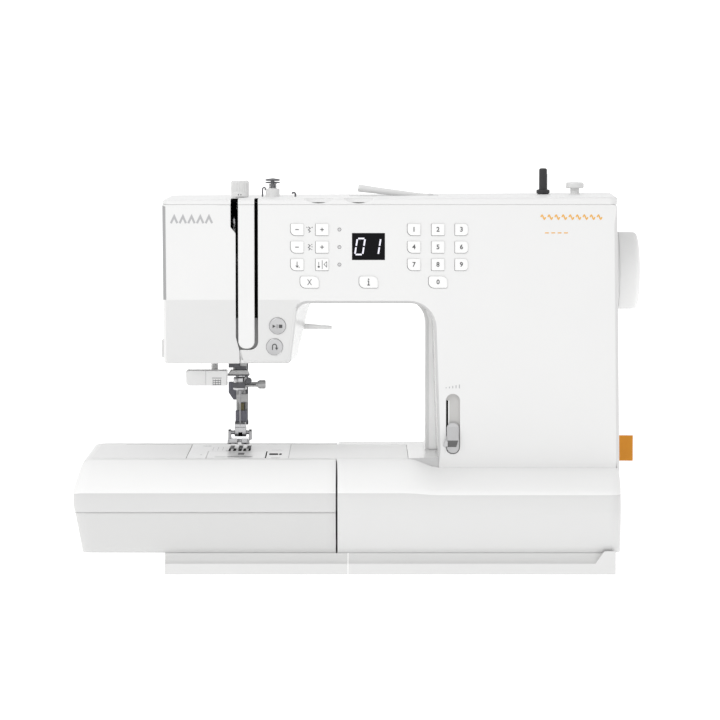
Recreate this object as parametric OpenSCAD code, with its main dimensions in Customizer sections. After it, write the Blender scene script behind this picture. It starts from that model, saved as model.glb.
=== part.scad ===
// Free-arm sewing machine, millimetres.
// Origin: middle of the bounding box on the table. +X right, +Y back, +Z up.

/* [Body] */
// Front face of the arm, head and column
front_y = -54; // [-56:0.5:-52]
// Back face of the arm, head and column
back_y = 70; // [68:0.5:71]
// Left end of the head
head_x = -143.4; // [-146:0.1:-140]
// Right end of the column
end_x = 190; // [189:0.1:190]
// Underside of the arm
arm_z = 195; // [192:0.5:198]
// Underside of the head
head_z = 151; // [149:0.5:153]
// Top edge of the side walls, under the top cover
wall_top = 266.7; // [266:0.1:267.5]
// Crest of the top cover
top_z = 270.5; // [270:0.1:271]
// Wall thickness of the plastic covers
wall = 2.5; // [2:0.1:2.8]

/* [Base and bed] */
// Height of the sewing bed
bed_z = 83; // [82.8:0.1:83.2]
// Front edge of the flat bed
bed_y = -64; // [-65:0.5:-63.5]
// Foremost point of the bulged skirt
bulge_y = -88; // [-88:0.5:-87]
// Top of the base plinth
plinth_z = 15; // [14:0.5:15]
// Underside of the free arm
arm_under = 45; // [44:0.5:46]
// Left face of the column at the front
throat_x = 54; // [53:0.5:55]

/* [Accessory tray] */
// Left end of the tray
tray_x = -207; // [-207:0.5:-205]
// Height of the seam under the drop front
tray_seam = 46; // [44:0.5:48]
// Right end of the tray wings
wing_x = -17; // [-18:0.5:-17]

/* [Drive] */
// Height of the main shaft
shaft_z = 216; // [214:0.5:218]
// Main shaft radius
shaft_r = 5; // [4:0.5:6]
// Handwheel radius
wheel_r = 28.6; // [27:0.1:29]
// Height of the lower shaft
lower_z = 62; // [61.5:0.5:62.5]

/* [Needle and foot] */
// Sideways place of needle and foot
needle_x = -89.2; // [-89.4:0.1:-89]
// Depth of the needle line
needle_y = 8; // [7.9:0.1:8.1]
// Radius of the needle bar and of the presser bar
bar_r = 3.3; // [3:0.1:3.4]
// Sole of the raised presser foot
sole_z = 87.4; // [87:0.1:88]

/* [Controls] */
// Width of a key
key_w = 9.4; // [9:0.1:9.8]
// Height of a key
key_h = 8.5; // [8:0.1:9]
// Gap round a key, a button or the slider
key_gap = 0.35; // [0.3:0.05:0.5]
// How far keys and buttons stand out of the cover
key_out = 0.9; // [0.5:0.1:1.2]

/* [Hidden] */
$fn = 48;

// the front and the rear cover meet on this plane
split_y = 6;
seam = 0.3;
shaft_y = 8;
rear_throat_x = 48.5;
ledge_z = 75;
head_right_x = -46;
slot_x = -88.1;
skirt_z = plinth_z + 0.6;
skirt_low_y = -75;
tray_low_x = tray_x + 4.4;
plate_x = -52;
bed_end_x = 34.8;
arm_back_y = 44.4;
arm_left_x = -126;
tray_back_y = 54;
presser_y = 24;
hook_y = needle_y - 18.9;
lower_y = hook_y + 12.2;
bush_gap = 0.05;
pin_x = 52;
pin_z = 270;
frame_y = 40;
fn_round = 40;

key_cols = [39.1, 56.5, 73.5];
key_rows = [248.6, 235.9, 223.2];
zero_at = [56.6, 210.5];
minus_x = -45.6;
plus_x = -27.5;
wide_key_w = 13.6;
button_start = [-59.9, 178.6];
button_reverse = [-62.1, 163.3];
slider_x = [62.5, 72.7];
slider_z = [85.2, 129.1];
display_x = [-5.8, 18.1];
display_z = [226.5, 246.1];
light_x = -14.9;
light_r = 1.3;

// ---- helpers ----

function bezier(a, b, c, d, n = 8) = [for (i = [0:n]) let (t = i / n, s = 1 - t)
  s * s * s * a + 3 * s * s * t * b + 3 * s * t * t * c + t * t * t * d];

module box(x, y, z) {
  translate([x[0], y[0], z[0]])
    cube([x[1] - x[0], y[1] - y[0], z[1] - z[0]]);
}

// a (Y, Z) outline drawn out along X
module along_x(x0, x1) {
  translate([x0, 0, 0])
    rotate([90, 0, 90])
      linear_extrude(x1 - x0)
        children();
}

// an (X, Z) outline drawn out along Y
module along_y(y0, y1) {
  translate([0, y1, 0])
    rotate([90, 0, 0])
      linear_extrude(y1 - y0)
        children();
}

module rod_x(x0, x1, y, z, r) {
  translate([x0, y, z])
    rotate([0, 90, 0])
      cylinder(h = x1 - x0, r = r);
}

module rod_y(x, y0, y1, z, r) {
  translate([x, y1, z])
    rotate([90, 0, 0])
      cylinder(h = y1 - y0, r = r);
}

module rod_z(x, y, z0, z1, r) {
  translate([x, y, z0])
    cylinder(h = z1 - z0, r = r);
}

// rectangle with rounded corners, from two corner points
module soft_rect(x, z, r) {
  translate([x[0] + r, z[0]])
    square([x[1] - x[0] - 2 * r, z[1] - z[0]]);
  translate([x[0], z[0] + r])
    square([x[1] - x[0], z[1] - z[0] - 2 * r]);
  for (cx = [x[0] + r, x[1] - r], cz = [z[0] + r, z[1] - r])
    translate([cx, cz])
      circle(r);
}

// material that rounds the inner corner at (x, z); sx and sz point into the open side
module corner_fill(x, z, sx, sz, r) {
  difference() {
    translate([x + (sx < 0 ? -r : 0), z + (sz < 0 ? -r : 0)])
      square(r);
    translate([x + sx * r, z + sz * r])
      circle(r);
  }
}

// ---- outlines ----

// body outline seen from the front, inset by i, with the throat wall at tx
module body_outline(x0, tx, foot_z) {
  difference() {
    union() {
      translate([x0, arm_z])
        square([end_x - x0, wall_top - arm_z]);
      translate([x0, head_z])
        square([head_right_x - x0, arm_z - head_z + 1]);
      translate([tx, foot_z])
        square([end_x - tx, arm_z - foot_z + 1]);
      corner_fill(tx, arm_z, -1, -1, 18);
      corner_fill(head_right_x, arm_z, 1, -1, 11);
    }
    corner_fill(end_x, wall_top, -1, -1, 5);
  }
}

module body_cavity(x0, tx, foot_z) {
  translate([x0, arm_z + wall])
    square([end_x - wall - x0, 80]);
  translate([x0, head_z - 10])
    square([head_right_x - wall - x0, arm_z - head_z + 20]);
  translate([tx + wall, foot_z])
    square([end_x - wall - tx - wall, arm_z - foot_z + 10]);
}

// skirt profile in (Y, Z), inset by i
module skirt_profile(i, y_end) {
  intersection() {
    translate([i, 0])
      polygon(concat(
        bezier([bed_y, bed_z], [bed_y - 17, bed_z - 1], [bulge_y, 70], [bulge_y, 52]),
        [[bulge_y, tray_seam], [skirt_low_y, skirt_z], [y_end, skirt_z], [y_end, bed_z]]));
    translate([-100, skirt_z + i])
      square([200, bed_z - skirt_z - 2 * i]);
  }
}

// tray end profile in (X, Z), inset by i
module tray_end_profile(i) {
  translate([i, 0])
    polygon(concat(
      bezier([tray_x + 12, bed_z], [tray_x + 4, bed_z - 1], [tray_x, 72], [tray_x, 60]),
      [[tray_x, 50], [tray_low_x, skirt_z], [wing_x + 5, skirt_z], [wing_x + 5, bed_z]]));
}

module tray_solid(i, x_end) {
  intersection() {
    along_x(tray_x, x_end)
      skirt_profile(i, tray_back_y - i);
    along_y(bulge_y, tray_back_y - i)
      tray_end_profile(i);
    linear_extrude(100)
      tray_plan(i);
  }
}

module tray_plan(i) {
  r = 24 - i;
  translate([tray_x + i, bulge_y + i + r])
    square([220, 200]);
  translate([tray_x + i + r, bulge_y + i])
    square([220, 200]);
  translate([tray_x + i + r, bulge_y + i + r])
    circle(r);
}

// ---- housing ----

module base_plinth() {
  color("whitesmoke")
    difference() {
      union() {
        difference() {
          along_x(-141, 185)
            polygon([[-80, 1], [-80, 8.2], [-76, 8.7], [-72, plinth_z], [80, plinth_z], [80, 1]]);
          box([-138, 182], [-69, 77], [0, plinth_z - 3]);
        }
        for (x = [-60, 20, 100])
          box([x, x + 3], [-70, 78], [1, plinth_z]);
        foot_places() cylinder(h = plinth_z - 2, r = 12);
      }
      translate([0, 0, -1])
        foot_places() cylinder(h = 4, r = 9);
    }
}

module foot_places() {
  for (p = [[-122, -58], [-122, 58], [20, -58], [168, -58], [168, 58]])
    translate([p[0], p[1], 1])
      children();
}

module rubber_feet() {
  color("dimgray")
    translate([0, 0, -1])
      foot_places() cylinder(h = 3, r = 9);
}

module lower_front_cover() {
  color("white")
    difference() {
      lower_block(0);
      lower_block(wall);
      // the free arm runs in here
      box([-20, bed_end_x + seam], [bed_y + 0.2, 20], [arm_under - seam, 90]);
      // the column stands on this opening
      box([throat_x + wall, end_x - wall], [front_y - seam, 20], [60, 90]);
      box([-20, end_x - wall], [split_y - wall - 0.5, 20], [skirt_z + wall, 90]);
    }
}

module lower_block(i) {
  x0 = -16.5;
  x1 = 192;
  intersection() {
    along_x(x0 + i, x1 - i)
      skirt_profile(i, split_y - seam);
    linear_extrude(100)
      difference() {
        translate([x0, bulge_y])
          square([x1 - x0, 120]);
        translate([x1 - i, bulge_y + i])
          difference() {
            translate([-24, -1])
              square([30, 25]);
            translate([-24, 24])
              circle(24);
          }
      }
    // the skirt drops a little where the column rises from it
    along_y(bulge_y, split_y)
      translate([0, -i])
        polygon([[x0, 0], [x1, 0], [x1, ledge_z], [throat_x - 1, ledge_z],
          [bed_end_x, bed_z], [x0, bed_z]]);
  }
}

module front_cover() {
  color("white")
    difference() {
      union() {
        difference() {
          along_y(front_y, split_y)
            body_outline(slot_x, throat_x, ledge_z + seam);
          along_y(front_y + wall, split_y + 1)
            body_cavity(slot_x - 1, throat_x, 70);
        }
        // channel behind the threading slots
        box([-90.5, -70], [front_y + 6, front_y + 8], [158, 262]);
        box([-83, -80], [front_y + wall - 1, front_y + 8], [166, 262]);
        box([-71.5, -70], [front_y + wall - 1, front_y + 8], [158, 262]);
        // pocket that closes the speed slider's slot from behind
        box([57, 78.2], [front_y + 5.5, front_y + 7], [80, 135]);
        for (x = [57, 76.7])
          box([x, x + 1.5], [front_y + wall - 1, front_y + 7], [80, 135]);
      }
      // threading slots, left, right and joined below
      box([slot_x - 1, slot_x + 0.8], [front_y - 1, front_y + wall + 0.1], [161, 270]);
      box([-75.8, -74], [front_y - 1, front_y + wall + 0.1], [161, 270]);
      box([slot_x - 1, -74], [front_y - 1, front_y + wall + 0.1], [161, 163.3]);
      // room for the take-up lever behind the left slot
      box([-91, -85], [front_y + wall + 0.1, front_y + 9], [190, 270]);
      front_openings();
      // shaft passage to the handwheel
      rod_x(end_x - wall - 1, end_x + 1, shaft_y, shaft_z, 8);
    }
}

module front_openings() {
  along_y(front_y - 1, front_y + wall + 1) {
    for (i = [1:9])
      key_hole(number_at(i), key_w);
    key_hole(zero_at, wide_key_w);
    for (z = [key_rows[0], key_rows[1], key_rows[2]], x = [minus_x, plus_x])
      key_hole([x, z], key_w);
    key_hole([(minus_x + plus_x) / 2, zero_at[1]], wide_key_w);
    key_hole([6.2, zero_at[1]], wide_key_w);
    soft_rect(slider_x, slider_z, 5);
    translate([display_x[0], display_z[0]])
      square([display_x[1] - display_x[0], display_z[1] - display_z[0]]);
    for (z = key_rows)
      translate([light_x, z])
        circle(light_r);
    translate(button_start)
      circle(6.6 + key_gap);
    translate(button_reverse)
      circle(6.45 + key_gap);
  }
}

function number_at(i) = [key_cols[(i - 1) % 3], key_rows[floor((i - 1) / 3)]];

module key_hole(at, w) {
  g = key_gap;
  soft_rect([at[0] - w / 2 - g, at[0] + w / 2 + g], [at[1] - key_h / 2 - g, at[1] + key_h / 2 + g], 2);
}

module rear_cover() {
  y0 = split_y + seam;
  color("white")
    difference() {
      union() {
        difference() {
          along_y(y0, back_y)
            rear_outline();
          along_y(y0 - 1, back_y - wall)
            union() {
              body_cavity(slot_x - 1, rear_throat_x, skirt_z + wall);
              translate([-14, skirt_z + wall])
                square([100, bed_z - skirt_z - 2 * wall]);
            }
        }
        for (side = [-1, 1]) {
          box([side * 50 - 3.7, side * 50 + 3.7], [back_y - 1, back_y + 8.2], [253, 263]);
          rod_x(side * 50 - 3.7, side * 50 + 3.7, back_y + 8.2, 258, 5);
        }
        rod_x(-60, -50, back_y + 8.2, 258, 2.5);
        rod_x(50, 60, back_y + 8.2, 258, 2.5);
      }
      // the free arm runs in here
      box([-20, bed_end_x + seam], [0, arm_back_y + seam], [arm_under - seam, 90]);
      // slot for the foot lifter
      box([-50, -40], [33, 47], [140, 193]);
      rod_x(end_x - wall - 1, end_x + 1, shaft_y, shaft_z, 8);
      // seat of the inlet panel
      box([end_x - wall - 1, end_x + 1], [14, 62], [24, 76]);
    }
}

module rear_outline() {
  body_outline(slot_x, rear_throat_x, skirt_z);
  translate([-16.5, skirt_z])
    square([80, bed_z - skirt_z]);
}

module top_cover() {
  color("white")
    difference() {
      union() {
        translate([0, 0, wall_top + 0.2])
          linear_extrude(top_z - wall_top - 0.2)
            soft_rect([head_x, end_x], [front_y, back_y], 6);
        // pocket of the spool pin
        box([-10, 60], [0, 20], [264.5, 267.5]);
        pin_lugs();
      }
      // recess under the spool pin
      difference() {
        box([-8, 58], [2, 18], [266, 290]);
        pin_lugs();
      }
      // threading slots
      box([slot_x, slot_x + 0.8], [front_y - 1, -34], [260, 280]);
      box([-75.8, -74], [front_y - 1, -34], [260, 280]);
      box([-93.1, -89], [front_y - 1, -34], [260, 280]);
      rod_z(-88.15, -15, 260, 280, 3.05);
      rod_z(136.1, 20, 260, 280, 4.05);
      // lens-shaped dips in the thread path
      for (x = [-30, -13])
        dip(x, -20);
    }
}

module pin_lugs() {
  for (y = [3.8, 13.2])
    box([pin_x - 3, pin_x + 3], [y, y + 3], [265.8, pin_z + 3]);
  rod_y(pin_x, 4.5, 15.5, pin_z, 1.5);
}

module dip(x, y) {
  translate([x, y, top_z + 8])
    sphere(r = 11, $fn = fn_round);
}

module face_cover() {
  x1 = slot_x - seam;
  color("white") {
    difference() {
      box([head_x, x1], [front_y, back_y], [head_z, wall_top]);
      box([head_x + wall, x1 + 1], [front_y + wall, back_y - wall], [head_z - 1, wall_top + 1]);
      for (y = [front_y, back_y])
        translate([head_x, y, 0])
          linear_extrude(300)
            circle(r = 3, $fn = 4);
      // window of the take-up lever
      along_y(front_y - 1, front_y + wall + 1)
        polygon([[-93.1, 270], [-93.1, 249.7], [-88, 243], [-80, 243], [-80, 270]]);
    }
    // thread cutter on the left edge
    box([head_x - 2.4, head_x], [-30, -16], [154, 167]);
  }
}

module free_arm() {
  y0 = bed_y + 0.5;
  color("gainsboro")
    difference() {
      along_x(arm_left_x, bed_end_x)
        soft_rect([y0, arm_back_y], [arm_under, bed_z], 0.8);
      box([arm_left_x + wall, bed_end_x + 1], [y0 + wall, arm_back_y - wall],
        [arm_under + wall, bed_z - wall]);
      // seat of the needle plate
      box([arm_left_x + 0.2, plate_x], [y0 + 0.2, arm_back_y - 0.2], [bed_z - 2.1, bed_z + 1]);
      box([arm_left_x + wall, plate_x - 2], [y0 + wall, arm_back_y - wall], [70, bed_z + 1]);
    }
}

module needle_plate() {
  y0 = bed_y + 0.7;
  color("silver")
    difference() {
      box([arm_left_x + 0.2, plate_x], [y0, arm_back_y - 0.2], [bed_z - 2.1, bed_z]);
      // opening over the bobbin
      box([-112.1, -68.9], [y0 + 0.9, -9.2], [70, 90]);
      // opening for the cover's release, dark slot
      box([-65, -58], [y0 + 4, y0 + 7], [bed_z - 0.8, 90]);
      for (x = feed_rows)
        box([x - 1.6, x + 1.6], [9.6, 35.6], [70, 90]);
      box([needle_x - 3.8, needle_x + 3.8], [needle_y - 0.9, needle_y + 0.9], [70, 90]);
    }
}

feed_rows = [needle_x - 6.2, needle_x, needle_x + 6.2];

module feed_dog() {
  color("lightsteelblue") {
    box([needle_x - 8.5, needle_x + 8.5], [12.5, 32.5], [76, 79]);
    for (x = feed_rows, k = [0:5])
      translate([x - 1.1, 12.5 + k * 3.4, 78])
        rotate([90, 0, 90])
          linear_extrude(2.2)
            polygon([[0, 0], [3.4, 0], [3.4, 4.2], [0, 5]]);
  }
}

module bobbin_cover() {
  color("silver")
    difference() {
      box([-111.8, -69.2], [bed_y + 2, -9.6], [bed_z - 2, bed_z]);
      // finger grip ribs
      for (k = [0:4])
        box([-106, -98], [-56 + k * 2, -55.2 + k * 2], [bed_z - 0.5, bed_z + 1]);
    }
}

// ---- inner works ----

module main_frame() {
  color("darkgray")
    difference() {
      union() {
        box([-80, -74], [-20, frame_y + 8], [158, 248]);
        box([-74, 176], [frame_y, frame_y + 8], [204, 252]);
        box([60, 168], [frame_y, frame_y + 8], [skirt_z + 5, 204]);
        box([-118, 70], [26, 33], [50, 73]);
        box([62, 70], [26, frame_y + 1], [50, 73]);
        // lugs that guide the needle bar and the presser bar
        for (z = [160, 211])
          box([-96, -79], [0, 31], [z, z + 11]);
        // shaft bearings
        for (x = [-68, 60, 165])
          box([x, x + 10], [-2, frame_y + 1], [206, 226]);
        box([62, 72], [-6.5, 27], [53, 71]);
        box([-71, -63], [-6.5, 27], [53, 70]);
        // hook bearing
        box([needle_x - 6, needle_x + 6], [hook_y - 6, 27], [48.2, 53.2]);
        box([needle_x - 6, needle_x + 6], [20, 27], [48.2, 56]);
        // take-up pivot
        rod_x(-94, -79, -12, 226, 3);
        // bracket and pin of the foot lifter
        box([-80, -60], [46, 50], [168, 188]);
      }
      box([-81, -73], [33, 46], [167, 189]);
      rod_z(needle_x, needle_y, 150, 240, bar_r + bush_gap);
      rod_z(needle_x, presser_y, 150, 240, bar_r + bush_gap);
      rod_x(-69, 180, shaft_y, shaft_z, shaft_r + bush_gap);
      rod_x(-75, 80, lower_y, lower_z, 4 + bush_gap);
      rod_z(needle_x, hook_y, 40, 60, 2 + bush_gap);
    }
  color("silver")
    rod_y(-70, 33.5, 48, 178, 2.45);
}

module belt(x0, x1, a, b, ra, rb) {
  along_x(x0, x1)
    difference() {
      hull() {
        translate(a) circle(ra + 1.6);
        translate(b) circle(rb + 1.6);
      }
      hull() {
        translate(a) circle(ra + 0.4);
        translate(b) circle(rb + 0.4);
      }
    }
}

module drive_motor() {
  color("dimgray") {
    difference() {
      union() {
        rod_x(100, 144, 5, 118, 24);
        rod_x(144, 147, 5, 118, 8);
        box([104, 140], [0, frame_y], [90, 100]);
      }
      rod_x(130, 150, 5, 118, 2.5 + bush_gap);
    }
    belt(150.5, 155.5, [shaft_y, shaft_z], [5, 118], 26, 7);
    belt(77, 83, [shaft_y, shaft_z], [lower_y, lower_z], 12, 12);
  }
}

module motor_pulley() {
  color("gray") {
    rod_x(132, 158, 5, 118, 2.5);
    rod_x(150, 156, 5, 118, 7);
  }
}

module main_shaft() {
  color("silver") {
    rod_x(-73, 200, shaft_y, shaft_z, shaft_r);
    rod_x(-73, -69, shaft_y, shaft_z, 15);
    rod_x(76, 84, shaft_y, shaft_z, 12);
    rod_x(149.5, 156.5, shaft_y, shaft_z, 26);
  }
}

module handwheel() {
  x0 = end_x + 0.9;
  depth = 207 - x0;
  color("whitesmoke")
    translate([x0, shaft_y, shaft_z])
      rotate([0, 90, 0])
        rotate_extrude($fn = 72)
          polygon(concat(
            [[shaft_r, 0], [wheel_r - 1.5, 0], [wheel_r, 1.5]],
            bezier([wheel_r, depth - 5], [wheel_r, depth - 2], [wheel_r - 2, depth], [wheel_r - 5, depth]),
            [[wheel_r - 8, depth], [wheel_r - 10, depth - 3], [7, depth - 3], [5.5, depth - 1.5],
              [shaft_r, depth - 1.5]]));
}

module lower_shaft() {
  color("silver") {
    rod_x(-96, 90, lower_y, lower_z, 4);
    rod_x(needle_x - 3, needle_x + 3, lower_y, lower_z, 8);
    rod_x(76, 84, lower_y, lower_z, 12);
  }
}

module rotary_hook() {
  color("silver") {
    rod_z(needle_x, hook_y, 49, 71, 2);
    rod_z(needle_x, hook_y, 59, 65, 3.8);
    difference() {
      rod_z(needle_x, hook_y, 70.6, 80.2, 17.2);
      rod_z(needle_x, hook_y, 72, 81, 15.6);
    }
  }
}

module bobbin() {
  color("lightblue")
    translate([needle_x, hook_y, 72.4])
      rotate_extrude()
        polygon([[3, 0], [10.4, 0], [10.4, 1.2], [5, 1.2], [5, 6.2], [10.4, 6.2], [10.4, 7.4], [3, 7.4]]);
}

// ---- needle and foot ----

module needle_bar() {
  color("silver")
    rod_z(needle_x, needle_y, 137, 256, bar_r);
}

module needle_clamp() {
  color("silver") {
    difference() {
      union() {
        rod_z(needle_x, needle_y, 127, 137, 5);
        rod_x(needle_x, -76, needle_y, 131, 1.8);
        rod_x(-77, -70, needle_y, 131, 3.6);
      }
      box([needle_x - 6, needle_x - 3.6], [-2, 18], [126, 138]);
    }
    rod_z(needle_x, needle_y, 104, 128, 0.45);
    translate([needle_x, needle_y, 100])
      cylinder(h = 4, r1 = 0.08, r2 = 0.45);
  }
}

module take_up_lever() {
  tip = [-12 - 33 * sin(35), 226 + 33 * cos(35)];
  color("silver")
    along_x(-93, -91)
      difference() {
        union() {
          translate([-12, 226]) circle(6);
          translate(tip) circle(4);
          translate([-12, 226])
            rotate(35)
              translate([-3, 0])
                square([6, 33]);
        }
        translate([-12, 226]) circle(3 + bush_gap);
        translate(tip) circle(1.6);
      }
}

module presser_bar() {
  color("silver")
    difference() {
      union() {
        rod_z(needle_x, presser_y, 104, 244, bar_r);
        box([needle_x - 4.5, needle_x + 4.5], [15, 29], [98, 110]);
        along_x(needle_x - 4.5, needle_x + 4.5)
          polygon([[14.6, 98.5], [14.6, 91.3], [21.4, 91.3], [23, 98.5]]);
      }
      rod_x(-100, -80, 18, 94.5, 1.5 + bush_gap);
    }
}

module presser_foot() {
  color("silver")
    difference() {
      union() {
        along_x(-98.2, -81.9)
          polygon([[-8, sole_z + 2.6], [-7.6, sole_z + 1.6], [-3, sole_z], [30, sole_z],
            [30, sole_z + 1.6], [26, sole_z + 3], [-2, sole_z + 3], [-7, sole_z + 4.8]]);
        for (x = [-98.2, -84.2])
          along_x(x, x + 2.3)
            polygon([[13, sole_z + 1], [24, sole_z + 1], [20.5, 97], [15.5, 97]]);
        rod_x(-97, -83, 18, 94.5, 1.5);
      }
      box([needle_x - 4.2, needle_x + 4.2], [4, 12], [80, 100]);
      box([needle_x - 1.2, needle_x + 1.2], [-12, 5], [80, 100]);
    }
}

module presser_lever() {
  color("white")
    difference() {
      union() {
        along_y(36, 43)
          polygon([[-76, 184], [-64, 184], [-44, 176.5], [-24, 175.5], [-21, 173], [-24, 170.4],
            [-44, 170.6], [-66, 172], [-76, 172]]);
        rod_y(-70, 34.5, 44.5, 178, 7);
      }
      rod_y(-70, 30, 50, 178, 2.5);
    }
}

module dual_feed_arm() {
  color("dimgray") {
    along_x(-95, -84)
      polygon([[34, 172], [39, 172], [39, 118], [36, 108], [35, 99], [32.5, 99], [32.5, 106], [34, 120]]);
    box([-98.7, -83.8], [32.4, 36], [99, 104]);
    rod_x(-96, -83, 36.5, 168, 4.5);
  }
}

module needle_threader() {
  color("white") {
    rod_z(-108, needle_y, 138, 232, 2.5);
    along_y(-14, 12)
      polygon([[-128.5, 143.6], [-97.6, 143.6], [-97.6, 139], [-106, 131.6], [-124, 131.6], [-128.5, 136]]);
  }
}

// ---- tray ----

module accessory_tray() {
  color("white")
    difference() {
      tray_solid(0, wing_x);
      difference() {
        tray_solid(wall, wing_x - wall);
        box([-130.1, 0], [bed_y - 0.2 - wall, 80], [0, 100]);
      }
      box([-127.6, 0], [bed_y - 0.2, arm_back_y + 0.3], [0, 100]);
      // closed by the drop front
      box([-220, 0], [-100, bed_y - 0.6], [tray_seam, 100]);
    }
}

module tray_front() {
  color("white")
    intersection() {
      box([-220, wing_x - 0.3], [-100, bed_y - 0.9], [tray_seam + 0.3, 100]);
      difference() {
        tray_solid(0, wing_x);
        tray_solid(wall, wing_x - wall - 0.3);
      }
    }
}

// ---- top fittings ----

module tension_dial() {
  color("white")
    difference() {
      union() {
        rod_z(-88.15, -15, 262, 272, 3);
        rod_z(-88.15, -15, 271.2, 283.2, 6.6);
      }
      for (k = [0:19])
        translate([-88.15, -15, 273])
          rotate(k * 18)
            translate([7, 0, 0])
              cylinder(h = 12, r = 0.7, $fn = 16);
    }
}

module thread_guides() {
  color("dimgray") {
    rod_z(-64.5, 0, top_z, 281, 2.2);
    rod_z(-64.5, 0, 281, 282.4, 5.5);
    rod_z(-64.5, 0, 282.8, 284.6, 5.5);
    rod_z(-64.5, 0, 282, 283, 2.2);
    rod_z(-72, 0, top_z, 278, 0.8);
    rod_x(-72, -69, 0, 277.2, 0.8);
    rod_z(-47.6, -6, top_z, 274.3, 1);
    rod_x(-50, -46.6, -6, 274.3, 1);
  }
}

module spool_pin() {
  color("white")
    difference() {
      union() {
        rod_y(pin_x, 7.2, 12.8, pin_z, 3);
        translate([pin_x, 10, pin_z])
          rotate([0, -82.5, 0]) {
            cylinder(h = 52, r1 = 2.2, r2 = 2.7);
            translate([0, 0, 51])
              cylinder(h = 3, r = 2.7);
          }
      }
      rod_y(pin_x, 0, 20, pin_z, 1.5 + bush_gap);
    }
}

module winder_spindle() {
  color("dimgray") {
    rod_z(136.1, 20, 262, 291.5, 3);
    rod_z(136.1, 20, 271, 274, 5);
    rod_z(136.1, 20, 262, 272, 4);
  }
}

module winder_stop() {
  color("white") {
    rod_z(159.4, 15, top_z, 277.5, 3);
    rod_z(159.4, 15, 276.9, 281.3, 6.9);
  }
}

// ---- controls ----

module key_block(at, w) {
  color("white")
    along_y(front_y - key_out, front_y + 7.5)
      soft_rect([at[0] - w / 2, at[0] + w / 2], [at[1] - key_h / 2, at[1] + key_h / 2], 1.8);
}

module number_key(i) {
  key_block(i == 0 ? zero_at : number_at(i), i == 0 ? wide_key_w : key_w);
}

module round_button(at, r) {
  color("silver") {
    rod_y(at[0], front_y - key_out, front_y + 6, at[1], r);
    rod_y(at[0], front_y + wall + 0.8, front_y + 6, at[1], r + 1);
  }
}

module speed_slider() {
  g = key_gap;
  color("silver") {
    along_y(front_y - 0.6, front_y + 4)
      soft_rect([slider_x[0] + g, slider_x[1] - g], [slider_z[0] + g, 108.2], 4.5);
    along_x(slider_x[0] + 1, slider_x[1] - 1)
      polygon([[front_y, 92], [front_y - 5, 96], [front_y - 5, 97.5], [front_y, 99]]);
    box([slider_x[0] - 3, slider_x[1] + 3], [front_y + wall + 0.4, front_y + 4.4], [83, 110]);
  }
}

module display_module() {
  color("darkslategray") {
    box([-52, 84], [-43.5, -42], [203, 258]);
    box([display_x[0] + 0.2, display_x[1] - 0.2], [front_y + 0.6, -43],
      [display_z[0] + 0.2, display_z[1] - 0.2]);
    for (z = key_rows)
      rod_y(light_x, front_y + 0.2, -43, z, light_r - 0.1);
    for (x = [-48, 80])
      rod_y(x, front_y + wall, -43, 255, 2);
  }
}

module inlet_panel() {
  color("dimgray")
    difference() {
      union() {
        box([end_x - 1.8, end_x + 0.4], [14.2, 61.8], [24.2, 75.8]);
        box([end_x - 18, end_x - 1], [18, 42], [28, 46]);
        box([end_x - 18, end_x - 1], [46, 58], [28, 44]);
      }
      box([end_x - 16, end_x + 2], [20, 40], [30, 44]);
      box([end_x - 16, end_x + 2], [48, 56], [30, 42]);
      box([end_x - 3, end_x + 2], [21.6, 36.4], [50.6, 71.4]);
    }
}

module power_switch() {
  color("black")
    translate([end_x, 29, 61])
      rotate([0, -6, 0])
        along_y(-7, 7)
          polygon([[-1.4, -9.6], [-0.2, -9.6], [1.7, 0], [-0.2, 9.6], [-1.4, 9.6]]);
}

module carry_handle() {
  pivot_y = back_y + 8.2;
  color("white")
    difference() {
      union() {
        for (x = [-66, 54]) {
          box([x, x + 12], [pivot_y - 5, pivot_y + 5], [218, 258]);
          rod_x(x, x + 12, pivot_y, 258, 5);
        }
        along_x(-66, 66)
          soft_rect([back_y + 3, 88], [212, 226], 5);
      }
      rod_x(-61, 61, pivot_y, 258, 2.5 + bush_gap);
    }
}

module cover_screws() {
  color("gray")
    for (p = [[-72, 170], [-72, 205], [80, 40], [176, 40], [176, 205], [80, 205]])
      rod_y(p[0], back_y, back_y + 1.4, p[1], 3.4);
}

// ---- output ----

base_plinth();
rubber_feet();
lower_front_cover();
front_cover();
rear_cover();
top_cover();
face_cover();
free_arm();
needle_plate();
main_frame();
drive_motor();
display_module();
thread_guides();
cover_screws();
inlet_panel();
winder_stop();
handwheel();
main_shaft();
motor_pulley();
lower_shaft();
rotary_hook();
bobbin();
needle_bar();
needle_clamp();
take_up_lever();
presser_bar();
presser_foot();
presser_lever();
dual_feed_arm();
needle_threader();
feed_dog();
accessory_tray();
tray_front();
bobbin_cover();
tension_dial();
spool_pin();
winder_spindle();
speed_slider();
round_button(button_start, 6.6);  // start_stop_button
round_button(button_reverse, 6.45);  // reverse_button
power_switch();
carry_handle();
number_key(1);  // key_1
number_key(2);  // key_2
number_key(3);  // key_3
number_key(4);  // key_4
number_key(5);  // key_5
number_key(6);  // key_6
number_key(7);  // key_7
number_key(8);  // key_8
number_key(9);  // key_9
number_key(0);  // key_0
key_block([minus_x, key_rows[0]], key_w);  // key_width_minus
key_block([plus_x, key_rows[0]], key_w);  // key_width_plus
key_block([minus_x, key_rows[1]], key_w);  // key_length_minus
key_block([plus_x, key_rows[1]], key_w);  // key_length_plus
key_block([minus_x, key_rows[2]], key_w);  // key_needle
key_block([plus_x, key_rows[2]], key_w);  // key_mirror
key_block([-36.6, zero_at[1]], wide_key_w);  // key_tie_off
key_block([6.2, zero_at[1]], wide_key_w);  // key_info
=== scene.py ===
import math
import bmesh
import bpy
from mathutils import Matrix, Vector


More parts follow.
